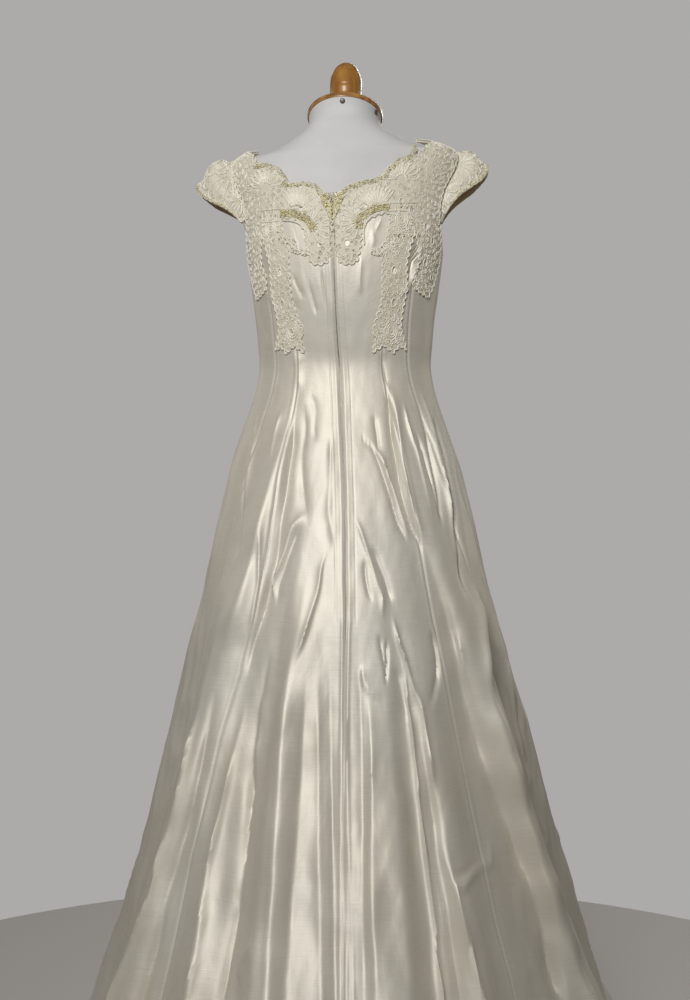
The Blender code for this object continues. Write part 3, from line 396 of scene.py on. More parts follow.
def form_point(angle, t):
    """The form's cover: the body, drawn in under the cloth."""

    def body(at_angle, at_t):
        return body_point(FORM_ROWS, at_angle, at_t)

    height = spline(FORM_ROWS, t)[..., 0]
    clear = np.interp(height, [row[0] for row in FORM_CLEAR], [row[1] for row in FORM_CLEAR])
    return body(angle, t) - normal_of(body, angle, t) * clear[..., None]


# Creases: half width and rise in millimetres, lean (which side is the steeper), then the line of
# (angle, height) places from its upper end to its lower end
CREASES = (
    # L1 ridge upper
    (18, 5.5, 0.0, ((30.2, 1.017), (30.5, 0.981), (31.2, 0.937), (32.5, 0.896), (34.0, 0.853),
        (35.2, 0.81), (36.5, 0.769), (38.0, 0.728), (38.8, 0.687))),
    # L1 dark valley right of ridge
    (10, -5.0, 0.6, ((28.5, 1.04), (25.8, 0.981), (24.8, 0.924), (25.0, 0.868), (25.5, 0.812),
        (27.2, 0.771), (29.0, 0.728), (31.0, 0.69), (31.8, 0.636))),
    # L1 thin ridge on its edge
    (4, 1.8, 0.0, ((33.2, 0.859), (32.0, 0.81), (31.2, 0.777), (31.8, 0.735), (32.0, 0.702))),
    # left far ridge
    (6, 2.2, 0.5, ((62.0, 1.035), (57.8, 0.997), (51.8, 0.946), (47.8, 0.896), (47.5, 0.874))),
    # left far dark line
    (5, -2.2, -0.4, ((53.2, 0.938), (49.5, 0.896), (46.5, 0.853), (44.5, 0.81))),
    # left panel small ridge
    (5, 1.4, 0.3, ((37.5, 1.023), (38.0, 0.994), (36.5, 0.96), (35.2, 0.931))),
    # left diagonal ridge
    (4.2, 3.4, 0.4, ((12.5, 0.881), (16.2, 0.869), (19.5, 0.856), (21.0, 0.838), (23.2, 0.81),
        (25.8, 0.781), (24.5, 0.754))),
    # left diagonal valley
    (6, -2.6, 0.0, ((14.8, 0.864), (17.2, 0.848), (19.0, 0.829), (21.2, 0.801), (23.0, 0.771),
        (21.8, 0.744))),
    # light panel left edge
    (10, -2.2, -0.5, ((23.5, 1.04), (19.2, 0.995), (18.8, 0.952), (15.0, 0.894), (11.2, 0.853))),
    # light panel right edge
    (9, -1.8, 0.3, ((4.8, 0.995), (4.0, 0.937), (3.8, 0.881), (1.2, 0.839), (2.2, 0.818))),
    # L2 lower ridge right edge
    (4.5, 2.2, -0.7, ((3.0, 0.829), (5.5, 0.805), (6.5, 0.771), (9.0, 0.733), (11.0, 0.7), (13.8, 0.672))),
    # L2 bright ridge
    (15, 5.0, 0.4, ((11.2, 0.791), (12.0, 0.744), (13.2, 0.705), (14.5, 0.666), (14.5, 0.616),
        (14.5, 0.566), (13.8, 0.506), (13.0, 0.447), (12.5, 0.392), (12.0, 0.337), (11.2, 0.286))),
    # L2 left dark fold
    (9, -6.0, -0.3, ((23.2, 0.702), (25.2, 0.636), (26.0, 0.59), (25.5, 0.535), (25.0, 0.479),
        (24.5, 0.424), (24.0, 0.372), (24.5, 0.301))),
    # left outer ridge
    (7, 4.6, -0.3, ((44.0, 0.674), (46.0, 0.633), (45.8, 0.592), (45.8, 0.534), (46.0, 0.476),
        (47.2, 0.417), (47.5, 0.362), (50.5, 0.273))),
    # left outer valley
    (8, -4.6, 0.2, ((39.8, 0.666), (40.8, 0.622), (40.8, 0.575), (41.2, 0.522), (41.8, 0.476),
        (43.0, 0.421), (44.0, 0.366), (44.5, 0.282))),
    # left middle ridge
    (8, 4.4, 0.0, ((31.5, 0.636), (31.5, 0.595), (33.0, 0.538), (33.8, 0.479), (34.2, 0.427),
        (33.5, 0.372), (31.8, 0.298))),
    # small hook by L2
    (6, 2.2, 0.4, ((25.2, 0.636), (25.2, 0.592), (25.2, 0.547), (25.2, 0.509))),
    # left lower hook
    (6, 2.8, 0.4, ((18.0, 0.346), (17.0, 0.333), (19.5, 0.314), (19.5, 0.289))),
    # greenish valley
    (12, -3.4, 0.2, ((8.8, 0.679), (8.8, 0.601), (8.5, 0.528), (8.5, 0.457), (8.5, 0.392), (8.0, 0.327))),
    # pale strip by centre
    (8, 1.8, 0.0, ((5.8, 0.705), (4.5, 0.601), (3.2, 0.506), (2.2, 0.424), (1.0, 0.346))),
    # dark strip by centre
    (7, -2.0, 0.0, ((1.5, 0.692), (0.5, 0.59), (-0.5, 0.506), (-1.5, 0.411), (-2.2, 0.337))),
    # placket ridge left
    (2.6, 0.9, 0.0, ((-2.2, 0.719), (-3.0, 0.627), (-3.5, 0.541), (-3.8, 0.447), (-4.2, 0.359),
        (-4.8, 0.286))),
    # placket ridge right
    (2.6, 0.9, 0.0, ((-4.5, 0.719), (-4.5, 0.627), (-5.0, 0.541), (-5.5, 0.447), (-6.0, 0.359),
        (-6.5, 0.289))),
    # dark strip right of centre
    (8, -2.2, -0.2, ((-8.0, 0.705), (-8.8, 0.627), (-9.0, 0.553), (-9.0, 0.47), (-8.8, 0.392),
        (-8.8, 0.317))),
    # panel left edge
    (9, 2.6, 0.5, ((-10.5, 0.692), (-11.8, 0.604), (-11.5, 0.519), (-11.0, 0.437), (-10.8, 0.359),
        (-11.0, 0.298))),
    # panel crisp right edge
    (4.2, 5.0, -0.8, ((-25.0, 0.705), (-25.0, 0.624), (-25.8, 0.575), (-26.2, 0.512), (-26.5, 0.457),
        (-27.2, 0.405), (-27.5, 0.346), (-27.0, 0.289))),
    # valley right of panel
    (8, -5.0, 0.5, ((-27.5, 0.598), (-28.5, 0.55), (-29.0, 0.489), (-29.2, 0.427), (-30.0, 0.375),
        (-30.2, 0.314))),
    # loop ridge right
    (4.2, 3.2, 0.0, ((-21.0, 0.742), (-22.8, 0.705), (-25.2, 0.674), (-27.2, 0.639), (-29.2, 0.619),
        (-29.8, 0.581), (-30.2, 0.544), (-30.5, 0.499))),
    # loop shade left
    (8, -2.6, 0.0, ((-21.5, 0.669), (-23.8, 0.624), (-24.8, 0.601))),
    # loop edge right
    (4, -3.4, -0.5, ((-36.5, 0.717), (-38.0, 0.687), (-37.5, 0.655), (-34.8, 0.63), (-31.5, 0.61))),
    # R3 ridge
    (6, 4.0, 0.6, ((-30.5, 0.476), (-30.8, 0.434), (-31.8, 0.398), (-32.5, 0.366), (-33.2, 0.327),
        (-33.8, 0.289))),
    # R3 thin line
    (3.5, 1.8, 0.0, ((-31.5, 0.47), (-32.0, 0.418), (-32.5, 0.359))),
    # star crease low
    (8, 1.5, 0.3, ((-46.2, 0.411), (-42.0, 0.405), (-36.2, 0.398), (-34.2, 0.388))),
    # star crease high
    (7, 1.3, -0.3, ((-49.5, 0.434), (-49.2, 0.417), (-47.8, 0.401))),
    # star shade
    (9, -1.2, 0.0, ((-42.0, 0.414), (-35.8, 0.411), (-33.0, 0.401))),
    # golden valley
    (12, -8.5, -0.4, ((-37.2, 0.839), (-39.5, 0.797), (-42.2, 0.756), (-44.2, 0.714), (-46.0, 0.661),
        (-47.8, 0.607), (-49.8, 0.559), (-52.5, 0.505), (-55.5, 0.46), (-57.5, 0.417), (-59.5, 0.366),
        (-61.0, 0.314), (-62.0, 0.26))),
    # golden valley thin ridge
    (3.5, 1.8, 0.0, ((-45.8, 0.728), (-46.5, 0.687), (-47.0, 0.633), (-48.5, 0.58), (-50.2, 0.531))),
    # R1 ridge
    (17, 8.5, 0.3, ((-61.0, 0.895), (-61.5, 0.853), (-61.0, 0.808), (-59.5, 0.752), (-56.5, 0.7),
        (-54.8, 0.644), (-55.5, 0.592), (-57.0, 0.538), (-58.8, 0.483), (-60.8, 0.424), (-62.5, 0.369),
        (-64.2, 0.314), (-66.2, 0.26))),
    # dark right of R1
    (12, -7.0, 0.4, ((-64.0, 0.752), (-66.2, 0.682), (-68.0, 0.61), (-68.3, 0.544), (-67.4, 0.489),
        (-68.2, 0.433), (-69.0, 0.385), (-69.5, 0.333), (-70.5, 0.279))),
    # outer ridge 1
    (5, 3.0, 0.0, ((-76.0, 0.707), (-75.8, 0.655), (-76.5, 0.607), (-77.0, 0.55), (-79.0, 0.496),
        (-79.5, 0.453))),
    # outer dark 1
    (5, -2.6, 0.0, ((-80.0, 0.677), (-78.5, 0.604), (-79.0, 0.547), (-81.0, 0.489), (-82.0, 0.437),
        (-82.8, 0.385))),
    # outer ridge 2
    (4, 2.6, 0.0, ((-79.8, 0.518), (-81.2, 0.473), (-81.5, 0.43), (-82.5, 0.395), (-81.5, 0.359))),
    # outer dark 2
    (4, -2.2, 0.0, ((-81.2, 0.658), (-83.8, 0.601), (-81.8, 0.553), (-83.8, 0.492), (-85.2, 0.437))),
    # crease by the zip right
    (3, -2.4, -0.3, ((-12.2, 0.991), (-12.5, 0.978), (-16.5, 0.968), (-19.0, 0.95), (-21.2, 0.926),
        (-23.8, 0.898), (-25.8, 0.868), (-28.0, 0.848), (-30.2, 0.83))),
    # ridge by the zip right
    (4, 2.0, 0.0, ((-16.2, 0.974), (-21.0, 0.952), (-23.5, 0.924), (-26.5, 0.892), (-29.2, 0.859),
        (-31.2, 0.836))),
    # strong dark edge right
    (4.5, -4.2, -0.5, ((-30.2, 1.061), (-29.5, 1.024), (-28.5, 0.981), (-28.8, 0.937), (-29.5, 0.9),
        (-32.2, 0.864), (-35.2, 0.832), (-36.5, 0.818))),
    # ridge right of the edge
    (7, 3.4, 0.4, ((-33.2, 1.061), (-33.0, 1.017), (-31.8, 0.973), (-32.0, 0.931), (-32.8, 0.896),
        (-35.2, 0.859), (-38.5, 0.825))),
    # dark line 2 right
    (3.6, -2.6, -0.3, ((-42.5, 1.003), (-45.0, 0.978), (-46.8, 0.947), (-47.5, 0.916), (-48.0, 0.887),
        (-47.8, 0.856), (-47.5, 0.832))),
    # ridge 2 right
    (4, 1.8, 0.0, ((-41.0, 1.04), (-39.5, 1.003), (-41.0, 0.966), (-41.8, 0.931), (-42.5, 0.896),
        (-43.2, 0.867))),
    # hip ridge
    (5.5, 4.0, -0.4, ((-58.0, 1.063), (-59.0, 1.034), (-58.5, 1.004), (-57.2, 0.974), (-56.8, 0.946),
        (-56.5, 0.916), (-55.5, 0.881), (-54.0, 0.846), (-52.8, 0.803), (-53.2, 0.769))),
    # hip dark inside
    (4.5, -3.2, 0.3, ((-50.0, 1.033), (-52.0, 1.003), (-51.2, 0.974), (-51.0, 0.945), (-50.5, 0.91),
        (-49.2, 0.874), (-48.8, 0.839))),
    # hip dark outside
    (8, -4.0, -0.2, ((-70.0, 1.05), (-64.8, 0.997), (-62.0, 0.946), (-60.2, 0.902), (-57.0, 0.859),
        (-54.5, 0.81), (-54.8, 0.769), (-55.8, 0.726))),
    # centre right crease
    (4, 2.2, 0.2, ((-6.2, 0.875), (-9.0, 0.856), (-11.8, 0.829), (-14.0, 0.805), (-15.8, 0.779),
        (-17.5, 0.761), (-17.0, 0.73))),
    # centre right shade
    (6, -2.4, 0.0, ((-14.2, 0.832), (-16.5, 0.81), (-19.2, 0.783), (-21.2, 0.752))),
    # centre right short dark
    (3.6, -2.4, 0.0, ((-11.0, 0.812), (-11.5, 0.785), (-12.5, 0.767), (-14.0, 0.754))),
    # small upright dark
    (3, -2.6, 0.0, ((-18.5, 0.705), (-18.5, 0.679), (-17.2, 0.647))),
    # small upright dark 2
    (3.4, -2.2, 0.0, ((-15.8, 0.712), (-16.8, 0.685), (-17.5, 0.661))),
    # curl at the foot
    (4, 2.2, 0.5, ((-9.5, 0.669), (-10.0, 0.65), (-12.5, 0.636), (-15.8, 0.63))),
    # shade right of zip
    (6, -1.6, 0.0, ((-19.2, 1.016), (-19.8, 0.987), (-19.8, 0.958))),
    # shade left of zip
    (7, -1.6, 0.0, ((19.2, 1.047), (14.8, 1.022), (14.0, 0.992), (11.5, 0.973))),
    # drag line left 1
    (3, -1.2, 0.3, ((19.2, 1.205), (17.8, 1.185), (15.0, 1.162))),
    # drag line left 2
    (3, -1.2, 0.3, ((30.2, 1.221), (27.5, 1.203), (23.2, 1.186))),
    # ridge left
    (3.6, 1.4, 0.0, ((55.0, 1.206), (51.0, 1.191), (43.5, 1.17))),
    # drag line left 3
    (2.8, -1.1, 0.0, ((11.5, 1.227), (10.0, 1.198), (8.5, 1.167))),
    # drag line left 4
    (2.8, -1.0, 0.0, ((36.2, 1.187), (32.0, 1.181), (27.2, 1.170))),
    # drag line left 5
    (3.2, -1.2, 0.0, ((65.8, 1.179), (63.5, 1.158), (58.5, 1.131))),
    # right strong fold dark
    (3.4, -2.0, 0.4, ((-48.8, 1.275), (-47.2, 1.255), (-45.2, 1.23), (-44.8, 1.211))),
    # right strong fold ridge
    (3.4, 1.8, 0.0, ((-51.5, 1.269), (-50.8, 1.239), (-47.0, 1.213), (-42.2, 1.198), (-36.8, 1.184))),
    # right light vertical
    (3, 1.0, 0.0, ((-18.0, 1.282), (-19.5, 1.257))),
    # right short
    (3, 1.0, 0.0, ((-23.0, 1.296), (-20.2, 1.28))),
    # right long drag
    (3.4, 1.2, 0.0, ((-12.5, 1.245), (-11.8, 1.216), (-12.0, 1.189))),
    # waist ridge left
    (7, 1.4, 0.0, ((28.5, 1.113), (29.2, 1.081), (26.5, 1.051))),
    # waist line right
    (4, -1.6, 0.0, ((-28.5, 1.108), (-29.8, 1.083), (-30.8, 1.057))),
)
# The same kind of creases on the front, as the back's creases turned to it with these shifts in degrees
FRONT_TURN = {"left": (178.0, 6.0), "right": (-179.0, -4.0)}
CREASE_DEPTH = 1.45
LOWEST = 0.0012           # the hem just clears the floor


def hem_end(path):
    """A crease that leaves the lower skirt runs on to the hem the way it was going."""
    path = np.array(path, float)
    if path[-1, 1] > 0.36 or path[0, 1] < 0.40:
        return path
    back = path[max(0, len(path) - 4)]
    way = (path[-1] - back) / max(back[1] - path[-1, 1], 1e-3)
    return np.vstack([path, path[-1] + way * path[-1, 1] * 1.15])


def all_creases():
    """Each crease as (half width, rise, lean, smooth path with rising heights)."""
    chance = np.random.default_rng(11)
    rows = []
    for half_width, rise, lean, path in CREASES:
        path = hem_end(path)
        rows.append((half_width, rise, lean, path))
        side = "left" if path[:, 0].mean() > 0 else "right"
        turn, shift = FRONT_TURN[side]
        if abs(path[:, 0]).max() > 3.0 and np.ptp(path[:, 1]) > 0.12:
            front = path.copy()
            front[:, 0] = turn - 1.05 * path[:, 0] + shift * chance.uniform(-1.0, 1.0)
            front[:, 1] += chance.uniform(-0.02, 0.03) * (path[:, 1] > 0.05)
            rows.append((half_width, rise * chance.uniform(0.7, 1.0), -lean, front))
    smooth = []
    for half_width, rise, lean, path in rows:
        fine = spline(path, np.linspace(0.0, len(path) - 1.0, 48))[::-1]
        keep = np.concatenate([[True], np.diff(np.maximum.accumulate(fine[:, 1])) > 1e-5])
        smooth.append((half_width / 1000.0, rise / 1000.0, lean, fine[keep]))
    return smooth


SMOOTH_CREASES = all_creases()


def per_degree(angle, row):
    """Metres of cloth to one degree round the body."""
    a = np.radians(angle)
    depth = np.where(np.cos(a) > 0, row[..., 2], row[..., 3])
    return np.hypot(row[..., 1] * np.cos(a), depth * np.sin(a)) * math.pi / 180.0


def crease_rise(angle, t):
    """How far the creases raise or sink the cloth at each place."""
    row = spline(DRESS_ROWS, t)
    height = row[..., 0]
    scale = per_degree(angle, row)
    total = np.zeros(height.shape)
    for number, (half_width, rise, lean, path) in enumerate(SMOOTH_CREASES):
        low, high = path[0, 1], path[-1, 1]
        near = (height > low) & (height < high)
        if not near.any():
            continue
        h = height[near]
        centre = np.interp(h, path[:, 1], path[:, 0])
        slope = np.interp(h, path[:, 1], np.gradient(path[:, 0], path[:, 1])) * scale[near]
        off = ((angle[near] - centre + 180.0) % 360.0 - 180.0) * scale[near] / np.sqrt(1.0 + slope ** 2)
        share = (h - low) / (high - low)
        ends = smooth_step((1.0 - share) / 0.20)
        if low > 0.05:
            ends = ends * smooth_step(share / 0.20)
        uneven = 1.0 + 0.25 * np.sin(h * 37.0 + number * 2.1) + 0.12 * np.sin(h * 83.0 + number)
        width = half_width * (1.0 + 0.20 * np.sin(h * 29.0 + number * 1.3))
        width = width * np.where(off > 0, 1.0 - lean * 0.6, 1.0 + lean * 0.6)
        crest = np.sqrt((off / width) ** 2 + 0.06) - math.sqrt(0.06)
        total[near] += CREASE_DEPTH * rise * ends * uneven * np.exp(-1.7 * crest)
    deepest = -0.0038 - 0.03 * smooth_step((1.04 - height) / 0.20)
    return np.maximum(total, deepest)


def waves(points, count, shortest, longest, seed, stretch=0.35):
    """A smooth uneven field of about -1 to 1 over points, longer upwards than across."""
    chance = np.random.default_rng(seed)
    total = np.zeros(points.shape[:-1])
    for _ in range(count):
        way = chance.normal(size=3)
        way = way / np.linalg.norm(way) * np.array([1.0, 1.0, stretch])
        length = shortest * (longest / shortest) ** chance.uniform()
        total += np.sin(points @ way * (2 * math.pi / length) + chance.uniform(0, 2 * math.pi))
    return total / math.sqrt(count)


def crumple(points, angle):
    """Small unevenness of hand-pressed silk: more at the sides, hardly any on the bodice."""
    height = points[..., 2]
    side = smooth_step((np.abs(((angle + 180) % 360) - 180) - 52.0) / 22.0)
    side = side * smooth_step((142.0 - np.abs(((angle + 180) % 360) - 180)) / 20.0)
    skirt = smooth_step((1.13 - height) / 0.22)
    soft = waves(points, 26, 0.045, 0.150, 3) * 0.0011 * skirt
    sharp = 0.5 - np.abs(waves(points, 22, 0.028, 0.080, 5, 0.22))
    small = waves(points, 20, 0.012, 0.030, 8, 0.30) * 0.00016
    return soft + sharp * (0.0003 + 0.0016 * side) * skirt + small


def cloth_rise(points, angle, t):
    return crease_rise(angle, t) + crumple(points, angle)


def finer(places, row_steps, column_steps):
    """The same grid of places with more rows and columns between the old ones."""
    rows = np.concatenate([[0.0]] + [i + np.arange(1, n + 1) / n for i, n in enumerate(row_steps)])
    columns = np.concatenate([[0.0]] + [i + np.arange(1, n + 1) / n for i, n in enumerate(column_steps)])
    i = np.minimum(rows.astype(int), len(places) - 2)
    f = (rows - i)[:, None, None]
    grid = places[i] * (1 - f) + places[i + 1] * f
    j = np.minimum(columns.astype(int), places.shape[1] - 2)
    f = (columns - j)[None, :, None]
    return grid[:, j] * (1 - f) + grid[:, j + 1] * f


def run_along(grid, axis):
    steps = np.linalg.norm(np.diff(grid, axis=axis), axis=-1)
    zero = np.zeros_like(np.take(steps, [0], axis=axis))
    return np.concatenate([zero, np.cumsum(steps, axis=axis)], axis=axis)


def new_piece(name, points, faces, materials, slots=None, uv=None, sharp=48.0):
    """A named mesh object with UVs in metres."""
    mesh = bpy.data.meshes.new(name)
    mesh.from_pydata(np.asarray(points, float).tolist(), [], [tuple(map(int, face)) for face in faces])
    for made in materials:
        mesh.materials.append(made)
    if slots is not None:
        mesh.polygons.foreach_set("material_index", np.asarray(slots, np.int32))
    if uv is not None:
        layer = mesh.uv_layers.new(name="metres")
        index = np.zeros(len(mesh.loops), np.int32)
        mesh.loops.foreach_get("vertex_index", index)
        layer.data.foreach_set("uv", np.asarray(uv, np.float32)[index].ravel())
    mesh.shade_smooth()
    mesh.set_sharp_from_angle(angle=math.radians(sharp))
    piece = bpy.data.objects.new(name, mesh)
    bpy.context.scene.collection.objects.link(piece)
    return piece


def shell(name, outer, inner, materials, skip=2):
    """A thin closed cloth shell: a fine outer grid, an inner one of every second point, and a rim."""
    rows, columns = outer.shape[:2]
    u = run_along(outer, 1)
    u = u - u[:, columns // 2, None]
    v = np.broadcast_to(run_along(outer, 0)[:, columns // 2, None], u.shape)
    under = inner[::skip, ::skip]
    n_rows, n_columns = under.shape[:2]
    half = rows * columns
    i, j = np.meshgrid(np.arange(rows - 1), np.arange(columns - 1), indexing="ij")
    a = (i * columns + j).ravel()
    quads = np.stack([a, a + 1, a + columns + 1, a + columns], -1)
    i, j = np.meshgrid(np.arange(n_rows - 1), np.arange(n_columns - 1), indexing="ij")
    b = (half + i * n_columns + j).ravel()
    inner_quads = np.stack([b, b + n_columns, b + n_columns + 1, b + 1], -1)
    rim_outer = [(0, k) for k in range(columns)] + [(k, columns - 1) for k in range(1, rows)]
    rim_outer += [(rows - 1, k) for k in range(columns - 2, -1, -1)] + [(k, 0) for k in range(rows - 2, 0, -1)]
    count = len(rim_outer)
    rim = []
    for k in range(0, count, skip):
        run = [rim_outer[(k + s) % count] for s in range(skip + 1)]
        low, high = (half + (r // skip) * n_columns + c // skip for r, c in (run[0], run[-1]))
        rim.append([r * columns + c for r, c in reversed(run)] + [low, high])
    faces = quads.tolist() + inner_quads.tolist() + rim
    middle = (rows // 2, columns // 2)
    across = outer[middle[0], middle[1] + 1] - outer[middle]
    up = outer[middle[0] + 1, middle[1]] - outer[middle]
    if np.dot(np.cross(across, up), outer[middle] - inner[middle]) < 0:
        faces = [face[::-1] for face in faces]
    slots = [0] * len(quads) + [1] * len(inner_quads) + [0] * len(rim)
    points = np.concatenate([outer.reshape(-1, 3), under.reshape(-1, 3)])
    uv = np.stack([u, v], -1)
    uv = np.concatenate([uv.reshape(-1, 2), uv[::skip, ::skip].reshape(-1, 2)])
    piece = new_piece(f"{name}_silk", points, faces, materials, slots, uv)
    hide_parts(name)
    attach(piece, "root")
    return piece


def lowest_near(field, reach=3):
    """The lowest value of a grid within a few points of each point."""
    out = field.copy()
    for axis in (0, 1):
        best = out.copy()
        for step in range(1, reach + 1):
            for way in (step, -step):
                moved = np.roll(out, way, axis=axis)
                edge = [slice(None)] * 2
                edge[axis] = slice(0, step) if way > 0 else slice(-step, None)
                moved[tuple(edge)] = out[tuple(edge)]
                best = np.minimum(best, moved)
        out = best
    return out


# Rows between the CAD's rows, from hem to underarm and then above it
ROW_STEPS = (28, 26, 28, 28, 30, 18, 14, 12, 12, 10, 8, 8, 8, 8, 6) + (4,) * ROWS_ABOVE
SEAM_SINK, SEAM_HALF = 0.0007, 0.0018
STITCH_OUT, STITCH_SINK, STITCH_HALF = 0.0130, 0.0005, 0.0011


def cloth_panel(name, places, column_steps, seams, materials, zip_edge=False):
    """A fine panel over a grid of places, with its creases, its seam lines and its inner face."""
    row_steps = ROW_STEPS[: len(places) - 1]
    fine = finer(twisted(places), row_steps, column_steps)
    angle, t = fine[..., 0], fine[..., 1]
    base, normal = dress_point(angle, t), dress_normal(angle, t)
    rise = cloth_rise(base, angle, t)
    run = run_along(base, 1)
    from_left, from_right = run, run[:, -1:] - run
    for near, seam in ((from_left, seams[0]), (from_right, seams[1])):
        if seam:
            rise = rise - SEAM_SINK * np.exp(-(near / SEAM_HALF) ** 2)
            rise = rise + 0.0003 * np.exp(-((near - 0.0040) / 0.0022) ** 2)
    if zip_edge:
        closed = smooth_step((base[..., 2] - ZIP_BOTTOM + 0.01) / 0.01)
        rise = rise - closed * STITCH_SINK * np.exp(-((from_left - STITCH_OUT) / STITCH_HALF) ** 2)
        rise = rise + closed * 0.0004 * np.exp(-((from_left - 0.0050) / 0.0035) ** 2)
        pressed = (1.0 - closed) * 0.0009 * np.exp(-((from_left - 0.0045) / 0.0022) ** 2)
        rise = rise + pressed
    outer = base + normal * rise[..., None]
    if zip_edge:
        opening = zip_opening(base[:, 0, 2]) / 2 - SEAM_GAP / 2
        way = outer[:, 1] - outer[:, 0]
        way = way / np.linalg.norm(way, axis=-1, keepdims=True)
        share = np.clip(1.0 - from_left / 0.030, 0.0, 1.0)
        outer = outer + (way * opening[:, None])[:, None] * share[..., None]
    inner = base + normal * (lowest_near(rise) - WALL)[..., None]
    for grid in (outer, inner):
        grid[..., 2] = np.maximum(grid[..., 2], LOWEST)
    return shell(name, outer, inner, materials)


def make_panels(materials):
    halves = {key: cutting_lines(side) for key, side in SIDES.items()}
    fine_end = (10, 8, 8, 8, 8, 8, 8, 8, 8, 8, 8)
    for key, side in SIDES.items():
        lines, sign = halves[key], side["sign"]
        neck = lines["neck_back"]
        top = np.vstack([spread(neck, 9), spread(lines["shoulder_in"], 2)[1:]])
        places = patch(lines["centre_back"], lines["inner"], top)
        cloth_panel(f"back_{key}", mirrored(places, sign), fine_end, (True, True), materials, True)
        places = patch(lines["inner"], lines["outer_and_armhole"], spread(lines["shoulder_out"], 6))
        cloth_panel(f"back_princess_{key}", mirrored(places, sign), (10, 8, 8, 8, 8, 10), (True, True),
                    materials)
        places = patch(lines["outer"], lines["side"], spread(lines["underarm"], 6))
        cloth_panel(f"side_back_{key}", mirrored(places, sign), (8, 6, 6, 6, 6, 8), (True, True), materials)
        places = patch(lines["front"], lines["side_and_armhole"], spread(lines["shoulder_out"], 9))
        cloth_panel(f"side_front_{key}", mirrored(places, sign), (8, 6, 4, 4, 4, 4, 4, 6, 6), (True, True),
                    materials)
    left, right = halves["left"], halves["right"]
    tops = [np.vstack([spread(half["neck_front"], 5), spread(half["shoulder_in"], 2)[1:]]) for half in (left, right)]
    top = np.vstack([tops[0][::-1], (tops[1] * np.array([-1.0, 1.0]) + np.array([360.0, 0.0]))[1:]])
    right_seam = right["front"] * np.array([-1.0, 1.0]) + np.array([360.0, 0.0])
    places = patch(left["front"], right_seam, top)
    cloth_panel("centre_front", places, (6, 4, 4, 4, 4, 4, 4, 4, 4, 4, 4, 4, 4, 6), (True, True), materials)
    return halves


# Cap sleeves
def sleeve_roots(halves, key):
    """The armhole line of a cap sleeve, its share along it and the way the sleeve stands out."""
    side, lines = SIDES[key], halves[key]
    back = lines["outer_and_armhole"][LOWER_ROWS:]
    front = lines["side_and_armhole"][LOWER_ROWS + 2:]
    root_places = twisted(mirrored(np.vstack([back, front[::-1][1:]]), side["sign"]))
    outline = np.linalg.norm(np.diff(on_dress(root_places), axis=0), axis=1)
    share = np.concatenate([[0.0], np.cumsum(outline)]) / outline.sum()
    tip_share = share[len(back) - 1]
    root_places[[0, -1]] = 0.8 * root_places[[0, -1]] + 0.2 * root_places[[1, -2]]
    share = np.where(share < tip_share, share / tip_share / 2, 0.5 + (share - tip_share) / (1 - tip_share) / 2)
    normal = dress_normal(root_places[:, 0], root_places[:, 1])
    droop = math.radians(side["droop"])
    reach = np.full(len(share), math.cos(droop))
    way = np.stack([side["sign"] * reach, 0.55 * normal[:, 1], np.full(len(share), -math.sin(droop))], -1)
    return root_places, share, way / np.linalg.norm(way, axis=1, keepdims=True)


def sleeve_grids(halves, key, steps=6, across=26):
    """Fine grids of a cap sleeve's outer face and its normals, from the armhole out."""
    side = SIDES[key]
    root_places, share, way = sleeve_roots(halves, key)
    coarse = np.concatenate([root_places, share[:, None], way], -1)
    at = np.linspace(0.0, len(coarse) - 1.0, (len(coarse) - 1) * steps + 1)
    fine = np.stack([np.interp(at, np.arange(len(coarse)), column) for column in coarse.T], -1)
    root_places, share, way = fine[:, :2], fine[:, 2], fine[:, 3:]
    way = way / np.linalg.norm(way, axis=1, keepdims=True)
    length = 0.0030 + side["cap"] * np.sin(np.pi * np.clip(share, 0, 1)) ** 1.6
    normal = dress_normal(root_places[:, 0], root_places[:, 1])
    root = on_dress(root_places)
    edge = np.gradient(root, axis=0)
    off = np.cross(normal, edge)
    off = off / np.linalg.norm(off, axis=1, keepdims=True)
    off = off * np.sign((off * way).sum(1, keepdims=True))
    root = root + off * SEAM_GAP
    up = np.cross(way, edge)
    up = up / np.linalg.norm(up, axis=1, keepdims=True)
    up = up * np.sign((up * normal).sum(1, keepdims=True))
    rows = []
    for k in range(across + 1):
        f = k / across
        crown = side["crown"] * length * math.sin(math.pi * f) ** 2
        ripple = 0.0012 * math.sin(math.pi * f) * np.sin(share * 19.0 + f * 2.0)
        rows.append(root + way * (length * f)[:, None] + up * (crown + ripple)[:, None])
    grid = np.array(rows)
    out = np.cross(np.gradient(grid, axis=0), np.gradient(grid, axis=1))
    out = out / np.linalg.norm(out, axis=-1, keepdims=True)
    out = out * np.sign((out * up[None]).sum(-1, keepdims=True))
    return grid, out


# Lace, drawn in a flat chart of the cloth in metres
CHART_T = np.linspace(0.0, len(DRESS_ROWS) - 1.0, 3000)
CHART_ROWS = spline(DRESS_ROWS, CHART_T)
CHART_RUN = np.concatenate([[0.0], np.cumsum(np.hypot(np.diff(CHART_ROWS[:, 0]), np.diff(CHART_ROWS[:, 1])))])
AROUND = 0.14 * math.pi / 180.0


def to_flat(places):
    return np.stack([places[..., 0] * AROUND, np.interp(places[..., 1], CHART_T, CHART_RUN)], -1)


def on_body(flat):
    """Points and normals of the creased cloth at flat places."""
    angle, t = flat[..., 0] / AROUND, np.interp(flat[..., 1], CHART_RUN, CHART_T)
    base, normal = dress_point(angle, t), dress_normal(angle, t)
    return base + normal * np.maximum(cloth_rise(base, angle, t), -0.0008)[..., None], normal


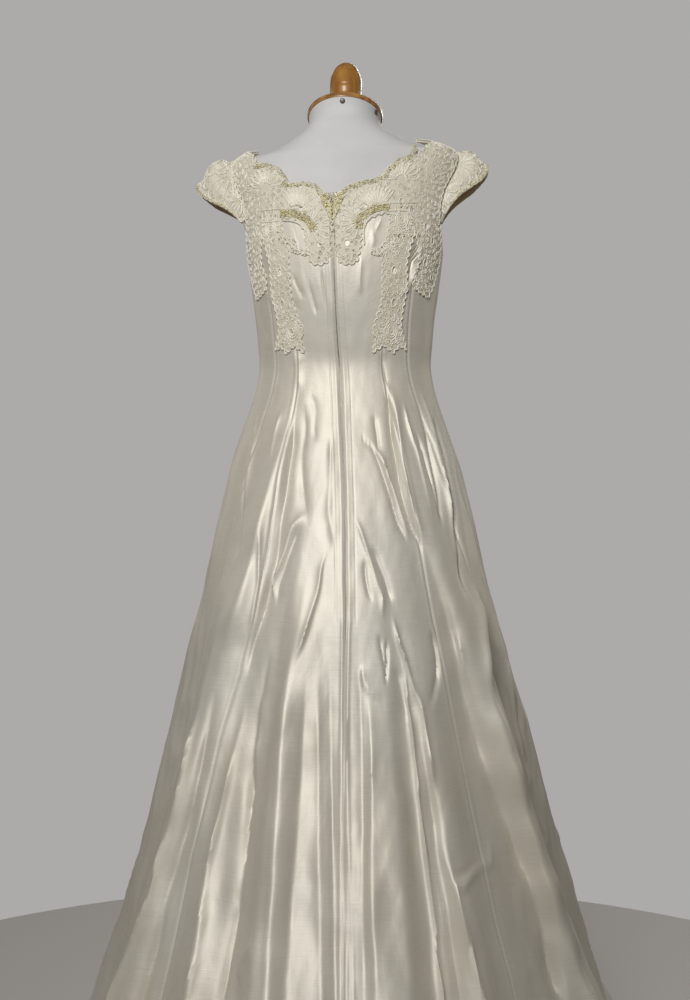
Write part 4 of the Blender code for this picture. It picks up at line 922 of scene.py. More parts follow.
def on_sleeve(grid, out):
    """The same for a sleeve's grid, with flat places as metres along the armhole and out from it."""
    along = run_along(grid[:1], 1)[0]
    tall = run_along(grid, 0)

    def place(flat):
        flat = np.asarray(flat, float)
        j = np.interp(flat[..., 0], along, np.arange(len(along)))
        j0 = np.clip(j.astype(int), 0, len(along) - 2)
        g = (j - j0)[..., None]
        size = tall[-1][j0] * (1 - g[..., 0]) + tall[-1][j0 + 1] * g[..., 0]
        i = np.clip(flat[..., 1] / np.maximum(size, 1e-4), 0.0, 1.0) * (len(grid) - 1)
        i0 = np.clip(i.astype(int), 0, len(grid) - 2)
        f = (i - i0)[..., None]

        def blend(field):
            low = field[i0, j0] * (1 - g) + field[i0, j0 + 1] * g
            high = field[i0 + 1, j0] * (1 - g) + field[i0 + 1, j0 + 1] * g
            return low * (1 - f) + high * f

        return blend(grid), blend(out)

    return place, along, tall[-1]


def inside_many(points, polygon):
    """True for each flat point inside the polygon."""
    x, y = points[..., 0], points[..., 1]
    hit = np.zeros(x.shape, bool)
    for (x0, y0), (x1, y1) in zip(polygon, np.roll(polygon, -1, axis=0)):
        if y0 == y1:
            continue
        cross = ((y0 > y) != (y1 > y)) & (x < (x1 - x0) * (y - y0) / (y1 - y0) + x0)
        hit ^= cross
    return hit


def even(line_points, step, closed=False):
    """Points about step apart along a line."""
    points = np.asarray(line_points, float)
    if closed:
        points = np.vstack([points, points[:1]])
    run = np.concatenate([[0.0], np.cumsum(np.linalg.norm(np.diff(points, axis=0), axis=1))])
    count = max(2, int(round(run[-1] / step)))
    wanted = np.linspace(0.0, run[-1], count + 1)
    found = np.stack([np.interp(wanted, run, points[:, 0]), np.interp(wanted, run, points[:, 1])], -1)
    return found[:-1] if closed else found


def rounded(points, step=0.002):
    """A smooth line through a few points."""
    points = np.asarray(points, float)
    fine = spline(points, np.linspace(0.0, len(points) - 1.0, 12 * len(points)))
    return even(fine, step)


def scalloped(outline, size, depth):
    """An outline with small rounded scallops along it."""
    points = even(outline, 0.0011, True)
    way = np.roll(points, -1, axis=0) - np.roll(points, 1, axis=0)
    out = np.stack([way[:, 1], -way[:, 0]], -1)
    out = out / np.maximum(np.linalg.norm(out, axis=1, keepdims=True), 1e-9)
    area = (points[:, 0] * np.roll(points[:, 1], -1) - np.roll(points[:, 0], -1) * points[:, 1]).sum()
    out = out * (1.0 if area > 0 else -1.0)
    count = max(6, int(len(points) * 0.0011 / size))
    phase = np.arange(len(points)) / len(points) * count * math.pi
    return points + out * (np.abs(np.sin(phase)) * depth - depth * 0.55)[:, None]


def petal(base, tip, width, count=18):
    """A closed loop from base to tip."""
    base, tip = np.asarray(base, float), np.asarray(tip, float)
    way = tip - base
    long = np.linalg.norm(way)
    way = way / long
    across = np.array([-way[1], way[0]])
    s = np.linspace(0.0, 2 * math.pi, count, endpoint=False)
    along = (1 - np.cos(s)) / 2
    wide = np.sin(s) * (0.35 + 0.65 * along ** 0.8)
    return base + way * (along * long)[:, None] + across * (wide * width / 1.6)[:, None]


def ring(centre, radius_x, radius_y, turn, count=16):
    s = np.linspace(0.0, 2 * math.pi, count, endpoint=False)
    x, y = radius_x * np.cos(s), radius_y * np.sin(s)
    c, n = math.cos(turn), math.sin(turn)
    return np.asarray(centre) + np.stack([x * c - y * n, x * n + y * c], -1)


def flower(centre, radius, turn, petals=5):
    s = np.linspace(0.0, 2 * math.pi, petals * 7, endpoint=False)
    r = radius * (0.36 + 0.64 * np.abs(np.sin(s * petals / 2.0)) ** 0.8)
    return np.asarray(centre) + np.stack([r * np.cos(s + turn), r * np.sin(s + turn)], -1)


def leaf(centre, long, wide, turn):
    way = np.array([math.cos(turn), math.sin(turn)])
    return petal(np.asarray(centre) - way * long / 2, np.asarray(centre) + way * long / 2, wide, 14)


def fan(base, radius, start, end, petals, fill=0.82):
    """Looped petals side by side round a base, from one direction to another in degrees."""
    loops = []
    turns = np.radians(np.linspace(start, end, petals))
    gap = abs(turns[1] - turns[0])
    for k, turn in enumerate(turns):
        way = np.array([math.cos(turn), math.sin(turn)])
        reach = radius * (1.0 if np.isscalar(radius) else 1.0)
        loops.append(petal(base + way * reach * 0.22, base + way * reach, reach * gap * fill))
    return loops


class Lace:
    """Cords and beads of one applique, gathered as flat lines and places."""

    def __init__(self, place, lift):
        self.place = place
        self.lift = lift
        self.cords = []
        self.beads = []

    def cord(self, points, radius=0.00075, closed=False, step=0.0022, lift=0.0):
        points = even(points, step, closed)
        self.cords.append((points, radius, closed, lift))

    def bead(self, places, radius, kind, lift=0.0):
        for flat in np.atleast_2d(places):
            self.beads.append((flat[0], flat[1], radius, kind, lift))

    def keep_inside(self, outline):
        """Leaves out the cords that would run past an outline."""
        self.cords = [cord for cord in self.cords if inside_many(cord[0], outline).all()]

    def cord_mesh(self, points, faces):
        """Adds all the cords as four-sided tubes to lists of points and faces."""
        if not self.cords:
            return
        lengths = [len(line_points) for line_points, *_ in self.cords]
        flat = np.concatenate([line_points for line_points, *_ in self.cords])
        at, normal = self.place(flat)
        start = 0
        total = sum(len(block) for block in points)
        for (line_points, radius, closed, lift), count in zip(self.cords, lengths):
            line_at, line_normal = at[start:start + count], normal[start:start + count]
            start += count
            if closed:
                way = np.roll(line_at, -1, axis=0) - np.roll(line_at, 1, axis=0)
            else:
                way = np.gradient(line_at, axis=0)
            side = np.cross(line_normal, way)
            side = side / np.maximum(np.linalg.norm(side, axis=1, keepdims=True), 1e-9)
            middle = line_at + line_normal * (self.lift + lift + radius * 0.35)
            sections = [middle + side * radius, middle + line_normal * radius, middle - side * radius,
                        middle - line_normal * radius * 0.8]
            points.append(np.stack(sections, 1).reshape(-1, 3))
            last = count if closed else count - 1
            for k in range(last):
                here, after = total + k * 4, total + ((k + 1) % count) * 4
                for s in range(4):
                    n = (s + 1) % 4
                    faces.append((here + s, after + s, after + n, here + n))
            if not closed:
                faces.append((total, total + 1, total + 2, total + 3))
                end = total + (count - 1) * 4
                faces.append((end + 3, end + 2, end + 1, end))
            total += count * 4

    def bead_mesh(self, name, materials):
        """All the beads as one piece of small faceted balls, one material for each kind."""
        if not self.beads:
            return None
        rows = np.array([(x, y, radius, lift) for x, y, radius, _, lift in self.beads])
        kinds = [kind for *_, kind, _ in self.beads]
        at, normal = self.place(rows[:, :2])
        centres = at + normal * (self.lift + rows[:, 3] + rows[:, 2] * 0.45)[:, None]
        golden = (1 + math.sqrt(5)) / 2
        ball = np.array([(-1, golden, 0), (1, golden, 0), (-1, -golden, 0), (1, -golden, 0), (0, -1, golden),
                         (0, 1, golden), (0, -1, -golden), (0, 1, -golden), (golden, 0, -1), (golden, 0, 1),
                         (-golden, 0, -1), (-golden, 0, 1)]) / math.sqrt(1 + golden ** 2)
        sides = ((0, 11, 5), (0, 5, 1), (0, 1, 7), (0, 7, 10), (0, 10, 11), (1, 5, 9), (5, 11, 4), (11, 10, 2),
                 (10, 7, 6), (7, 1, 8), (3, 9, 4), (3, 4, 2), (3, 2, 6), (3, 6, 8), (3, 8, 9), (4, 9, 5), (2, 4, 11),
                 (6, 2, 10), (8, 6, 7), (9, 8, 1))
        points = (centres[:, None] + ball[None] * rows[:, 2][:, None, None]).reshape(-1, 3)
        faces = (np.arange(len(rows))[:, None, None] * 12 + np.array(sides)[None]).reshape(-1, 3)
        slots = np.repeat(kinds, len(sides))
        piece = new_piece(name, points, faces, materials, slots, sharp=180.0)
        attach(piece, "root")
        return piece


def seeded_fill(lace, polygon, keep_out, chance, gap, size):
    """Small flowers, leaves and loops over what is left of an outline, no two closer than the gap."""
    low, high = polygon.min(0), polygon.max(0)
    cells = {}
    edge = even(polygon, 0.0015, True)
    tries = chance.uniform(low, high, size=(int(np.prod(high - low) / gap ** 2 * 9), 2))
    tries = tries[inside_many(tries, polygon)]
    for spot in tries:
        if np.min(np.abs(edge - spot).sum(1)) < gap * 0.42:
            continue
        if any(np.hypot(*(spot - centre)) < radius for centre, radius in keep_out):
            continue
        key = (int(spot[0] // gap), int(spot[1] // gap))
        near = [p for i in (-1, 0, 1) for j in (-1, 0, 1) for p in cells.get((key[0] + i, key[1] + j), [])]
        if any(np.hypot(*(spot - p)) < gap for p in near):
            continue
        cells.setdefault(key, []).append(spot)
        turn = chance.uniform(0, 2 * math.pi)
        kind = chance.uniform()
        scale = size * chance.uniform(0.85, 1.15)
        if kind < 0.45:
            lace.cord(flower(spot, scale, turn, 5), 0.00070, True, 0.0020)
            lace.bead(spot, 0.00085, int(chance.uniform() < 0.35))
        elif kind < 0.78:
            lace.cord(leaf(spot, scale * 2.3, scale * 1.25, turn), 0.00070, True, 0.0022)
            lace.cord(leaf(spot, scale * 1.3, scale * 0.55, turn), 0.00055, True, 0.0022)
        else:
            s = np.linspace(0.0, 1.0, 14)
            curl = spot + np.stack([np.cos(turn + s * 8.0), np.sin(turn + s * 8.0)], -1) * (scale * (1 - 0.75 * s))[:, None]
            lace.cord(curl, 0.00065)
            lace.bead(spot, 0.00075, int(chance.uniform() < 0.5))


def gap_loops(rows, sign=1.0, steps=14):
    """Outlines of the open places of an applique for a table of gaps on one side, as (angle, row) centres laid flat."""
    places = twisted(mirrored(line([row[:2] for row in rows]), sign))
    turn = np.arange(steps) * 2 * math.pi / steps
    loops = []
    for (angle, row), (_, _, wide, tall) in zip(places, rows):
        centre = to_flat(np.array([[angle % 360.0 if abs(angle) > 90.0 else angle, row]]))[0]
        loops.append(centre + np.stack([wide * np.sin(turn), tall * np.cos(turn)], -1))
    return loops


def ground(outline, place, low, high, spacing, holes=()):
    """The net under the cords: a thin closed plate inside a flat outline, cut through at its holes."""
    edge = np.asarray(outline)
    box_low, box_high = edge.min(0), edge.max(0)
    ys = np.arange(box_low[1], box_high[1], spacing * 0.87)
    grid = [np.stack([np.arange(box_low[0], box_high[0], spacing) + (i % 2) * spacing / 2,
                      np.full(len(np.arange(box_low[0], box_high[0], spacing)), y)], -1) for i, y in enumerate(ys)]
    grid = np.concatenate(grid)
    grid = grid[inside_many(grid, edge)]
    rims = np.vstack([edge, *holes])
    far = np.array([np.min(np.abs(rims - spot).sum(1)) for spot in grid])
    grid = grid[far > spacing * 0.5]
    flat2d = [Vector(p) for p in np.vstack([rims, grid])]
    bounds = [(i, (i + 1) % len(edge)) for i in range(len(edge))]
    first = len(edge)
    for hole in holes:
        bounds += [(first + i, first + (i + 1) % len(hole)) for i in range(len(hole))]
        first += len(hole)
    verts, _, triangles, *_ = delaunay_2d_cdt(flat2d, bounds, [], 0, 1e-7)
    flat = np.array([tuple(v) for v in verts])
    centre = np.array([flat[list(tri)].mean(0) for tri in triangles])
    wanted = inside_many(centre, edge)
    for hole in holes:
        wanted &= ~inside_many(centre, hole)
    kept = [tuple(tri) for tri, is_in in zip(triangles, wanted) if is_in]
    at, normal = place(flat)
    count = len(flat)
    faces = kept + [tuple(count + k for k in reversed(tri)) for tri in kept]
    uses = set()
    for tri in kept:
        uses.update(zip(tri, tri[1:] + tri[:1]))
    for a, b in uses:
        if (b, a) not in uses:
            faces.append((b, a, count + a, count + b))
    x, y = at[kept[0][1]] - at[kept[0][0]], at[kept[0][2]] - at[kept[0][0]]
    if np.dot(np.cross(x, y), normal[kept[0][0]]) > 0:
        at_low, at_high = at + normal * high, at + normal * low
    else:
        at_low, at_high = at + normal * low, at + normal * high
    points = np.concatenate([at_low, at_high])
    return points, faces, np.concatenate([flat, flat])


def lace_piece(name, outline, place, lace, materials, bead_materials, spacing=0.0036,
               scallop=(0.0100, 0.0042), holes=()):
    """Builds an applique: its net, its cords with one along its scalloped edge, and its beads."""
    edge = scalloped(outline, *scallop)
    border = even(edge, 0.0030, True)
    points, faces, flat = ground(border, place, 0.0003, 0.0011, spacing, holes)
    lace.cord(edge, 0.00105, True, 0.0022)
    for hole in holes:
        middle = hole.mean(0)
        lace.cord(middle + (hole - middle) * 1.22, 0.00085, True, 0.0018)
    net = new_piece(f"{name}_net", points, faces, materials[:1], None, flat, 60.0)
    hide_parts(name)
    blocks, cord_faces = [], []
    lace.cord_mesh(blocks, cord_faces)
    cords = new_piece(f"{name}_cords", np.concatenate(blocks), cord_faces, materials[1:], sharp=80.0)
    beads = lace.bead_mesh(name.replace("lace", "beads"), bead_materials)
    for piece in (net, cords):
        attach(piece, "root")
    x, y = border[:, 0], border[:, 1]
    area = abs(float((x * np.roll(y, -1) - np.roll(x, -1) * y).sum())) / 2
    width, length = (float(size) for size in border.max(0) - border.min(0))
    area = min(max(area, 0.31 * width * length), width * length)
    return net


# Listed lace of the back, in flat millimetres: x is towards the side, y up
MOTIFS = {
    "left": {
        "fans": (((62.0, 1352.0), 40.0, 62.0, 138.0, 9), ((107.0, 1397.0), 30.0, 18.0, 168.0, 8),
                 ((43.0, 1329.0), 34.0, 112.0, 232.0, 7)),
        "rings": (((40.0, 1368.0), 9.5, 14.0, 0.35), ((40.0, 1368.0), 6.2, 10.0, 0.35),
                  ((46.5, 1362.5), 4.5, 11.0, 0.20)),
        "arc": ((86.0, 1351.5), (68.0, 1350.4), (54.0, 1344.5), (43.0, 1336.0), (36.7, 1322.7)),
        "bands": (((124.0, 1362.0), (106.0, 1361.0), (84.0, 1359.1), (57.4, 1356.4)),
                  ((125.0, 1344.0), (104.5, 1342.4), (87.4, 1341.8), (66.0, 1338.2), (51.3, 1328.0), (44.5, 1314.0),
                   (44.0, 1291.5))),
        "rosettes": (((107.0, 1332.0), 13.0), ((81.2, 1180.7), 15.0)),
        "sprig": ((78.8, 1312.1), (70.9, 1303.8), (63.5, 1296.0), (52.5, 1292.3), (47.6, 1297.0)),
        "neckline": ((121.0, 1429.5), (109.3, 1430.8), (95.9, 1427.4), (83.7, 1421.0), (75.1, 1407.5), (76.5, 1394.6),
                     (62.9, 1393.8), (50.1, 1393.8), (39.1, 1391.6), (31.2, 1385.0), (26.0, 1377.0)),
        "sequins": ((115.0, 1352.5), (104.0, 1351.5), (95.0, 1350.5), (93.5, 1325.0), (91.5, 1314.0), (30.0, 1316.0),
                    (28.0, 1302.0), (28.0, 1292.0), (30.0, 1283.0), (126.0, 1352.0)),
    },
    "right": {
        "fans": (((50.0, 1348.0), 40.0, 58.0, 140.0, 10), ((80.0, 1398.0), 28.0, 12.0, 172.0, 8),
                 ((27.0, 1334.0), 30.0, 108.0, 246.0, 8)),
        "rings": (((23.2, 1362.8), 6.0, 11.0, 0.55), ((41.0, 1372.2), 5.0, 9.5, 0.0), ((41.0, 1372.2), 2.8, 6.5, 0.0)),
        "arc": ((66.6, 1354.7), (50.7, 1354.2), (35.4, 1345.9), (26.3, 1337.6), (24.4, 1324.0)),
        "bands": (((112.0, 1364.0), (96.0, 1362.5), (80.0, 1361.5), (60.0, 1360.5)),
                  ((107.5, 1345.0), (95.9, 1349.8), (73.3, 1349.8), (55.0, 1345.9), (39.7, 1337.6), (32.4, 1322.7),
                   (33.5, 1300.0))),
        "rosettes": (((87.4, 1337.0), 12.5), ((82.5, 1179.5), 14.0)),
        "sprig": ((46.4, 1289.8), (53.8, 1286.1), (62.9, 1293.1), (71.5, 1299.4), (78.8, 1311.1)),
        "neckline": ((99.0, 1448.3), (92.9, 1440.0), (88.6, 1431.0), (77.0, 1428.1), (66.0, 1417.0), (59.9, 1408.5),
                     (55.0, 1398.9), (39.1, 1392.6), (22.0, 1388.4), (9.8, 1382.5), (3.1, 1378.2)),
        "sequins": ((104.0, 1355.0), (94.0, 1355.5), (84.0, 1355.5), (92.9, 1314.7), (105.1, 1315.3), (119.7, 1316.9),
                    (82.5, 1314.2), (14.0, 1318.0), (16.0, 1304.0), (18.0, 1292.0)),
    },
}


def hand_motifs(lace, side, sign):
    """Draws the motifs of one side of the back. Returns the round areas they fill."""
    rows = MOTIFS[side]
    taken = []

    def flat(pair):
        return np.array([sign * pair[0], pair[1]]) / 1000.0

    for base, radius, start, end, petals in rows["fans"]:
        for turn in np.linspace(start, end, petals):
            a = math.radians(turn)
            way = np.array([sign * math.cos(a), math.sin(a)])
            root = flat(base)
            reach = radius / 1000.0
            gap = math.radians(abs(end - start) / max(petals - 1, 1))
            lace.cord(petal(root + way * reach * 0.24, root + way * reach * 0.98, reach * gap * 0.84), 0.00115, True)
            lace.cord(np.array([root + way * reach * 0.42, root + way * reach * 0.78]), 0.00085, False, 0.0018)
            taken.append((root + way * reach * 0.62, reach * 0.24))
            taken.append((root + way * reach * 0.95, reach * 0.12))
        taken.append((flat(base), reach * 0.30))
    for centre, radius_x, radius_y, turn in rows["rings"]:
        lace.cord(ring(flat(centre), radius_x / 1000.0, radius_y / 1000.0, -sign * turn, 22), 0.00105, True)
        taken.append((flat(centre), radius_y / 1000.0))
    chance = np.random.default_rng(21 if side == "left" else 22)
    arc = rounded([flat(pair) for pair in rows["arc"]], 0.0019)
    way = np.gradient(arc, axis=0)
    across = np.stack([-way[:, 1], way[:, 0]], -1) / np.linalg.norm(way, axis=1, keepdims=True)
    for lane in (-0.0048, -0.0026, -0.0004, 0.0018, 0.0040):
        spots = arc + across * lane + chance.normal(0, 0.00035, arc.shape)
        for spot in spots:
            lace.bead(spot, chance.uniform(0.0010, 0.0015), int(chance.choice([1, 1, 1, 2, 0])), 0.0004)
    for spot in arc:
        taken.append((spot, 0.0062))
    for band in rows["bands"]:
        line_points = rounded([flat(pair) for pair in band])
        lace.cord(line_points, 0.0012)
        for spot in line_points[::2]:
            taken.append((spot, 0.0030))
    for centre, radius in rows["rosettes"]:
        middle, reach = flat(centre), radius / 1000.0
        for share in (1.0, 0.72, 0.46):
            s = np.linspace(0.15 * math.pi, 1.85 * math.pi, 22)
            arc_line = middle + np.stack([sign * np.sin(s) * 0.80, np.cos(s)], -1) * reach * share
            lace.cord(arc_line, 0.00105)
        for turn in np.linspace(0, 2 * math.pi, 11, endpoint=False):
            out = np.array([math.cos(turn), math.sin(turn)])
            lace.cord(petal(middle + out * reach * 1.02, middle + out * reach * 1.36, reach * 0.42, 12), 0.0009, True)
        lace.bead(middle, 0.0013, 1)
        taken.append((middle, reach * 1.30))
    sprig = rounded([flat(pair) for pair in rows["sprig"]])
    lace.cord(sprig, 0.00110)
    for k, spot in enumerate(sprig[::2]):
        turn = chance.uniform(0, 2 * math.pi)
        lace.cord(flower(spot + chance.normal(0, 0.0022, 2), 0.0046, turn, 5), 0.00090, True, 0.0019)
        lace.bead(spot, 0.00095, k % 3)
    edge = rounded([flat(pair) for pair in rows["neckline"]], 0.0020)
    way = np.gradient(edge, axis=0)
    across = np.stack([-way[:, 1], way[:, 0]], -1) / np.linalg.norm(way, axis=1, keepdims=True)
    bumps = np.abs(np.sin(np.arange(len(edge)) * 0.33))
    for lane, reach in ((0.0, 1.0), (0.0018, 0.7), (0.0036, 0.35)):
        shift = across * sign * (-lane + bumps[:, None] * 0.0026 * reach)
        for spot in edge + shift + chance.normal(0, 0.0003, edge.shape):
            lace.bead(spot, chance.uniform(0.0009, 0.0013), int(chance.choice([1, 1, 2, 0])), 0.0004)
    for spot in edge:
        taken.append((spot, 0.0040))
    for spot in rows["sequins"]:
        lace.bead(flat(spot), 0.0015, 2, -0.0003)
    return taken


def v_cluster(lace, places):
    """The pointed mass of beads at the top of the zip, with thin rows down both sides of it."""
    chance = np.random.default_rng(31)
    top, bottom = 1377.5, 1338.0
    for side in (1, -1):
        for _ in range(260):
            share = chance.uniform() ** 0.8
            height = top - (top - bottom) * share
            wide = 15.0 * (1 - share) ** 0.9 + 2.4
            x = side * (1.0 + chance.uniform() * (wide - 1.0)) + places
            lace.append((x, height, chance.uniform(1.1, 1.6), int(chance.choice([1, 1, 1, 2, 0]))))
        for height in np.arange(1300.0, bottom, 2.6):
            lace.append((side * 3.2 + places, height, 1.05, int(chance.choice([1, 2, 0]))))


def make_lace(halves, materials, bead_materials):
    shoulder_clear = np.array([-0.35, 0.0])
    armhole_clear = np.linspace([-6.0, 0.0], [-3.0, 0.0], 6)
    for key, side in SIDES.items():
        lines = halves[key]
        neck = spread(lines["neck_back"], 16)[1:]
        shoulder = spread(lines["shoulder_in"], 2) + shoulder_clear
        armhole = spread(lines["outer_and_armhole"][LOWER_ROWS:], 5)[::-1] + armhole_clear
        outline = np.vstack([neck[:-1], shoulder, armhole[1:-1], line(LACE_BACK)])
        outline = to_flat(twisted(mirrored(outline, side["sign"])))
        lace = Lace(on_body, 0.0011)
        taken = hand_motifs(lace, key, side["sign"])
        holes = gap_loops(LACE_GAPS_BACK, side["sign"])
        taken += [(hole.mean(0), 0.0075) for hole in holes]
        chance = np.random.default_rng(41 if key == "left" else 42)
        seeded_fill(lace, outline, taken, chance, 0.0068, 0.0036)
        if key == "left":
            cluster = []
            v_cluster(cluster, 10.8)
            for x, y, radius, kind in cluster:
                lace.bead(np.array([x, y]) / 1000.0, radius / 1000.0, kind, 0.0006)
        lace_piece(f"lace_back_{key}", outline, on_body, lace, materials, bead_materials, holes=holes)
    halves_front = []
    for key in ("left", "right"):
        lines = halves[key]
        neck = spread(lines["neck_front"], 10)
        shoulder = spread(lines["shoulder_in"], 2) - shoulder_clear
        armhole = spread(np.vstack([line(ARMHOLE_FRONT), lines["shoulder_out"][-1]]), 5)[::-1] - armhole_clear
        halves_front.append(np.vstack([neck[:-1], shoulder, armhole[1:-1], line(LACE_FRONT)]))
    left, right = halves_front
    right = right * np.array([-1.0, 1.0]) + np.array([360.0, 0.0])
    outline = to_flat(twisted(np.vstack([left, right[::-1][1:-1]])))
    lace = Lace(on_body, 0.0011)
    chance = np.random.default_rng(43)
    middle = 180.0 * AROUND
    taken = []
    for sign in (1, -1):
        for (x, y), radius, start, end, petals in (((26.0, 1296.0), 34.0, 20.0, 150.0, 8),
                                                   ((84.0, 1352.0), 34.0, 10.0, 150.0, 8),
                                                   ((142.0, 1408.0), 30.0, 20.0, 160.0, 7)):
            base = np.array([middle + sign * x / 1000.0, y / 1000.0])
            reach = radius / 1000.0
            for turn in np.radians(np.linspace(start, end, petals)):
                way = np.array([sign * math.cos(turn), math.sin(turn)])
                gap = math.radians((end - start) / (petals - 1))
                lace.cord(petal(base + way * reach * 0.24, base + way * reach * 0.98, reach * gap * 0.84), 0.0011, True)
                taken.append((base + way * reach * 0.62, reach * 0.24))
            taken.append((base, reach * 0.30))
    holes = gap_loops(LACE_GAPS_FRONT) + gap_loops(LACE_GAPS_FRONT, -1.0)
    taken += [(hole.mean(0), 0.0075) for hole in holes]
    lace.keep_inside(outline)
    seeded_fill(lace, outline, taken, chance, 0.0076, 0.0039)
    edge = to_flat(twisted(np.vstack([spread(halves["left"]["neck_front"], 60)])))
    edge_right = edge * np.array([-1.0, 1.0]) + np.array([2 * middle, 0.0])
    for spot in np.vstack([edge[2:], edge_right[2:]]):
        for lane in (0.0, 0.0022, 0.0044):
            lace.bead(spot - np.array([0.0, 0.0022 + lane]) + chance.normal(0, 0.0004, 2), 0.00115,
                      int(chance.choice([1, 2, 0])), 0.0004)
    lace_piece("lace_front", outline, on_body, lace, materials, bead_materials, 0.0046, holes=holes)


def make_sleeves(halves, cloth_materials, lace_materials, bead_materials):
    for key in SIDES:
        grid, out = sleeve_grids(halves, key)
        shell(f"cap_sleeve_{key}", grid, grid - out * WALL, cloth_materials)
        place, along, tall = on_sleeve(grid, out)
        trim = np.array([(x, 0.0016) for x in np.linspace(along[-1] * 0.06, along[-1] * 0.94, 40)])
        free = np.array([(x, np.interp(x, along, tall) + 0.0006) for x in np.linspace(along[-1] * 0.94, along[-1] * 0.06, 60)])
        outline = np.vstack([trim, free])
        lace = Lace(place, 0.0011)
        chance = np.random.default_rng(51 if key == "left" else 52)
        taken = []
        for share in (0.18, 0.38, 0.62, 0.82):
            base = np.array([along[-1] * share, 0.001])
            reach = float(np.interp(base[0], along, tall)) * 0.80
            for turn in np.radians(np.linspace(28, 152, 7)):
                way = np.array([math.cos(turn), math.sin(turn)])
                lace.cord(petal(base + way * reach * 0.22, base + way * reach, reach * 0.30), 0.0011, True)
                taken.append((base + way * reach * 0.62, reach * 0.20))
            taken.append((base, reach * 0.25))
        seeded_fill(lace, outline, taken, chance, 0.0068, 0.0036)
        for spot in even(free[4:-4], 0.0021):
            for lane in (0.0012, 0.0034):
                lace.bead(spot - np.array([0.0, lane]) + chance.normal(0, 0.0004, 2), chance.uniform(0.0009, 0.0013),
                          int(chance.choice([0, 1, 2])), 0.0004)
        lace_piece(f"lace_sleeve_{key}", outline, place, lace, lace_materials, bead_materials,
                   0.0040)


def make_zip(halves, tape, metal):
    """Two tapes side by side with a row of small teeth on the inner edge of each, and the slider on top."""
    centre = halves["left"]["centre_back"]
    heights = spline(DRESS_ROWS, centre[:, 1])[:, 0]
    rows = [(0.0, row_of_height(DRESS_ROWS, ZIP_BOTTOM))]
    rows += [tuple(row) for row, h in zip(centre, heights) if h > ZIP_BOTTOM + 0.01]
    rows[-1] = (0.0, row_of_height(DRESS_ROWS, 1.333))
    rows = np.array(rows)
    at = np.linspace(0.0, len(rows) - 1.0, 260)
    places = twisted(np.stack([np.interp(at, np.arange(len(rows)), column) for column in rows.T], -1))
    middle, normal = on_dress(places), dress_normal(places[:, 0], places[:, 1])
    side = np.cross(normal, np.gradient(middle, axis=0))
    side = side / np.linalg.norm(side, axis=1, keepdims=True)
    section = ((-0.0088, -0.0051), (-0.0040, -0.0036), (-0.0002, -0.0034), (0.0002, -0.0034), (0.0040, -0.0036),
               (0.0088, -0.0051), (0.0088, -0.0056), (0.0, -0.0042), (-0.0088, -0.0056))
    points = np.concatenate([middle + side * x + normal * depth for x, depth in section])
    count, size = len(at), len(section)
    faces = [(s * count + i, ((s + 1) % size) * count + i, ((s + 1) % size) * count + i + 1, s * count + i + 1)
             for s in range(size) for i in range(count - 1)]
    slots = [0] * len(faces)
    run = np.concatenate([[0.0], np.cumsum(np.linalg.norm(np.diff(middle, axis=0), axis=1))])
    blocks = [points]
    total = len(points)
    for k, spot in enumerate(np.arange(0.002, run[-1] - 0.002, 0.00155)):
        i = np.interp(spot, run, np.arange(count))
        i0 = int(i)
        here = middle[i0] + (middle[min(i0 + 1, count - 1)] - middle[i0]) * (i - i0)
        n, s = normal[i0], side[i0]
        up = np.cross(s, n)
        shift = 0.00042 * (1 if k % 2 else -1)
        corners = []
        for depth in (-0.0034, -0.0016):
            for x, z in ((-0.0009, -0.00052), (0.0009, -0.00052), (0.0009, 0.00052), (-0.0009, 0.00052)):
                corners.append(here + s * (x + shift) + n * depth + up * z)
        blocks.append(np.array(corners))
        for quad in ((4, 5, 6, 7), (0, 1, 5, 4), (1, 2, 6, 5), (2, 3, 7, 6), (3, 0, 4, 7)):
            faces.append(tuple(total + q for q in quad))
            slots.append(1)
        total += 8
    here, n, s = middle[-8], normal[-8], side[-8]
    up = np.cross(s, n)
    body = []
    for depth, wide, tall in ((-0.0030, 0.0020, 0.0036), (-0.0008, 0.0024, 0.0042), (0.0002, 0.0016, 0.0034)):
        for x, z in ((-1, -1), (1, -1), (1, 1), (-1, 1)):
            body.append(here + s * x * wide + n * depth + up * z * tall)
    blocks.append(np.array(body))
    for low in (0, 4):
        for q in range(4):
            r = (q + 1) % 4
            faces.append((total + low + q, total + low + r, total + low + 4 + r, total + low + 4 + q))
            slots.append(1)
    faces.append((total + 8, total + 9, total + 10, total + 11))
    slots.append(1)
    piece = new_piece("zip_teeth_and_tape", np.concatenate(blocks), faces, [tape, metal], slots, sharp=35.0)
    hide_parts("zip")
    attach(piece, "root")
    return piece


def make_form(cover):
    """The form's stretched cover, lofted in rings and closed at both ends."""
    steps, levels = 144, 150
    angles = np.arange(steps) * 360.0 / steps
    at = np.linspace(0.0, len(FORM_ROWS) - 1.0, levels)
    rings = []
    for t in at:
        ring_points = form_point(angles, np.full(steps, t))
        rings.append(ring_points)
    foot = rings[0].copy()
    foot[:, :2] *= 0.90
    foot[:, 2] -= 0.012
    rings = [foot] + rings
    points = np.concatenate(rings + [[(0.0, 0.0, foot[0, 2])], [rings[-1].mean(0)]])
    faces = []
    for i in range(len(rings) - 1):
        for k in range(steps):
            after = (k + 1) % steps
            faces.append((i * steps + k, (i + 1) * steps + k, (i + 1) * steps + after, i * steps + after))
    last = (len(rings) - 1) * steps
    for k in range(steps):
        after = (k + 1) % steps
        faces.append((len(points) - 2, k, after))
        faces.append((len(points) - 1, last + after, last + k))
    piece = new_piece("form_torso_cover", points, faces, [cover])
    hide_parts("form_torso")
    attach(piece, "root")


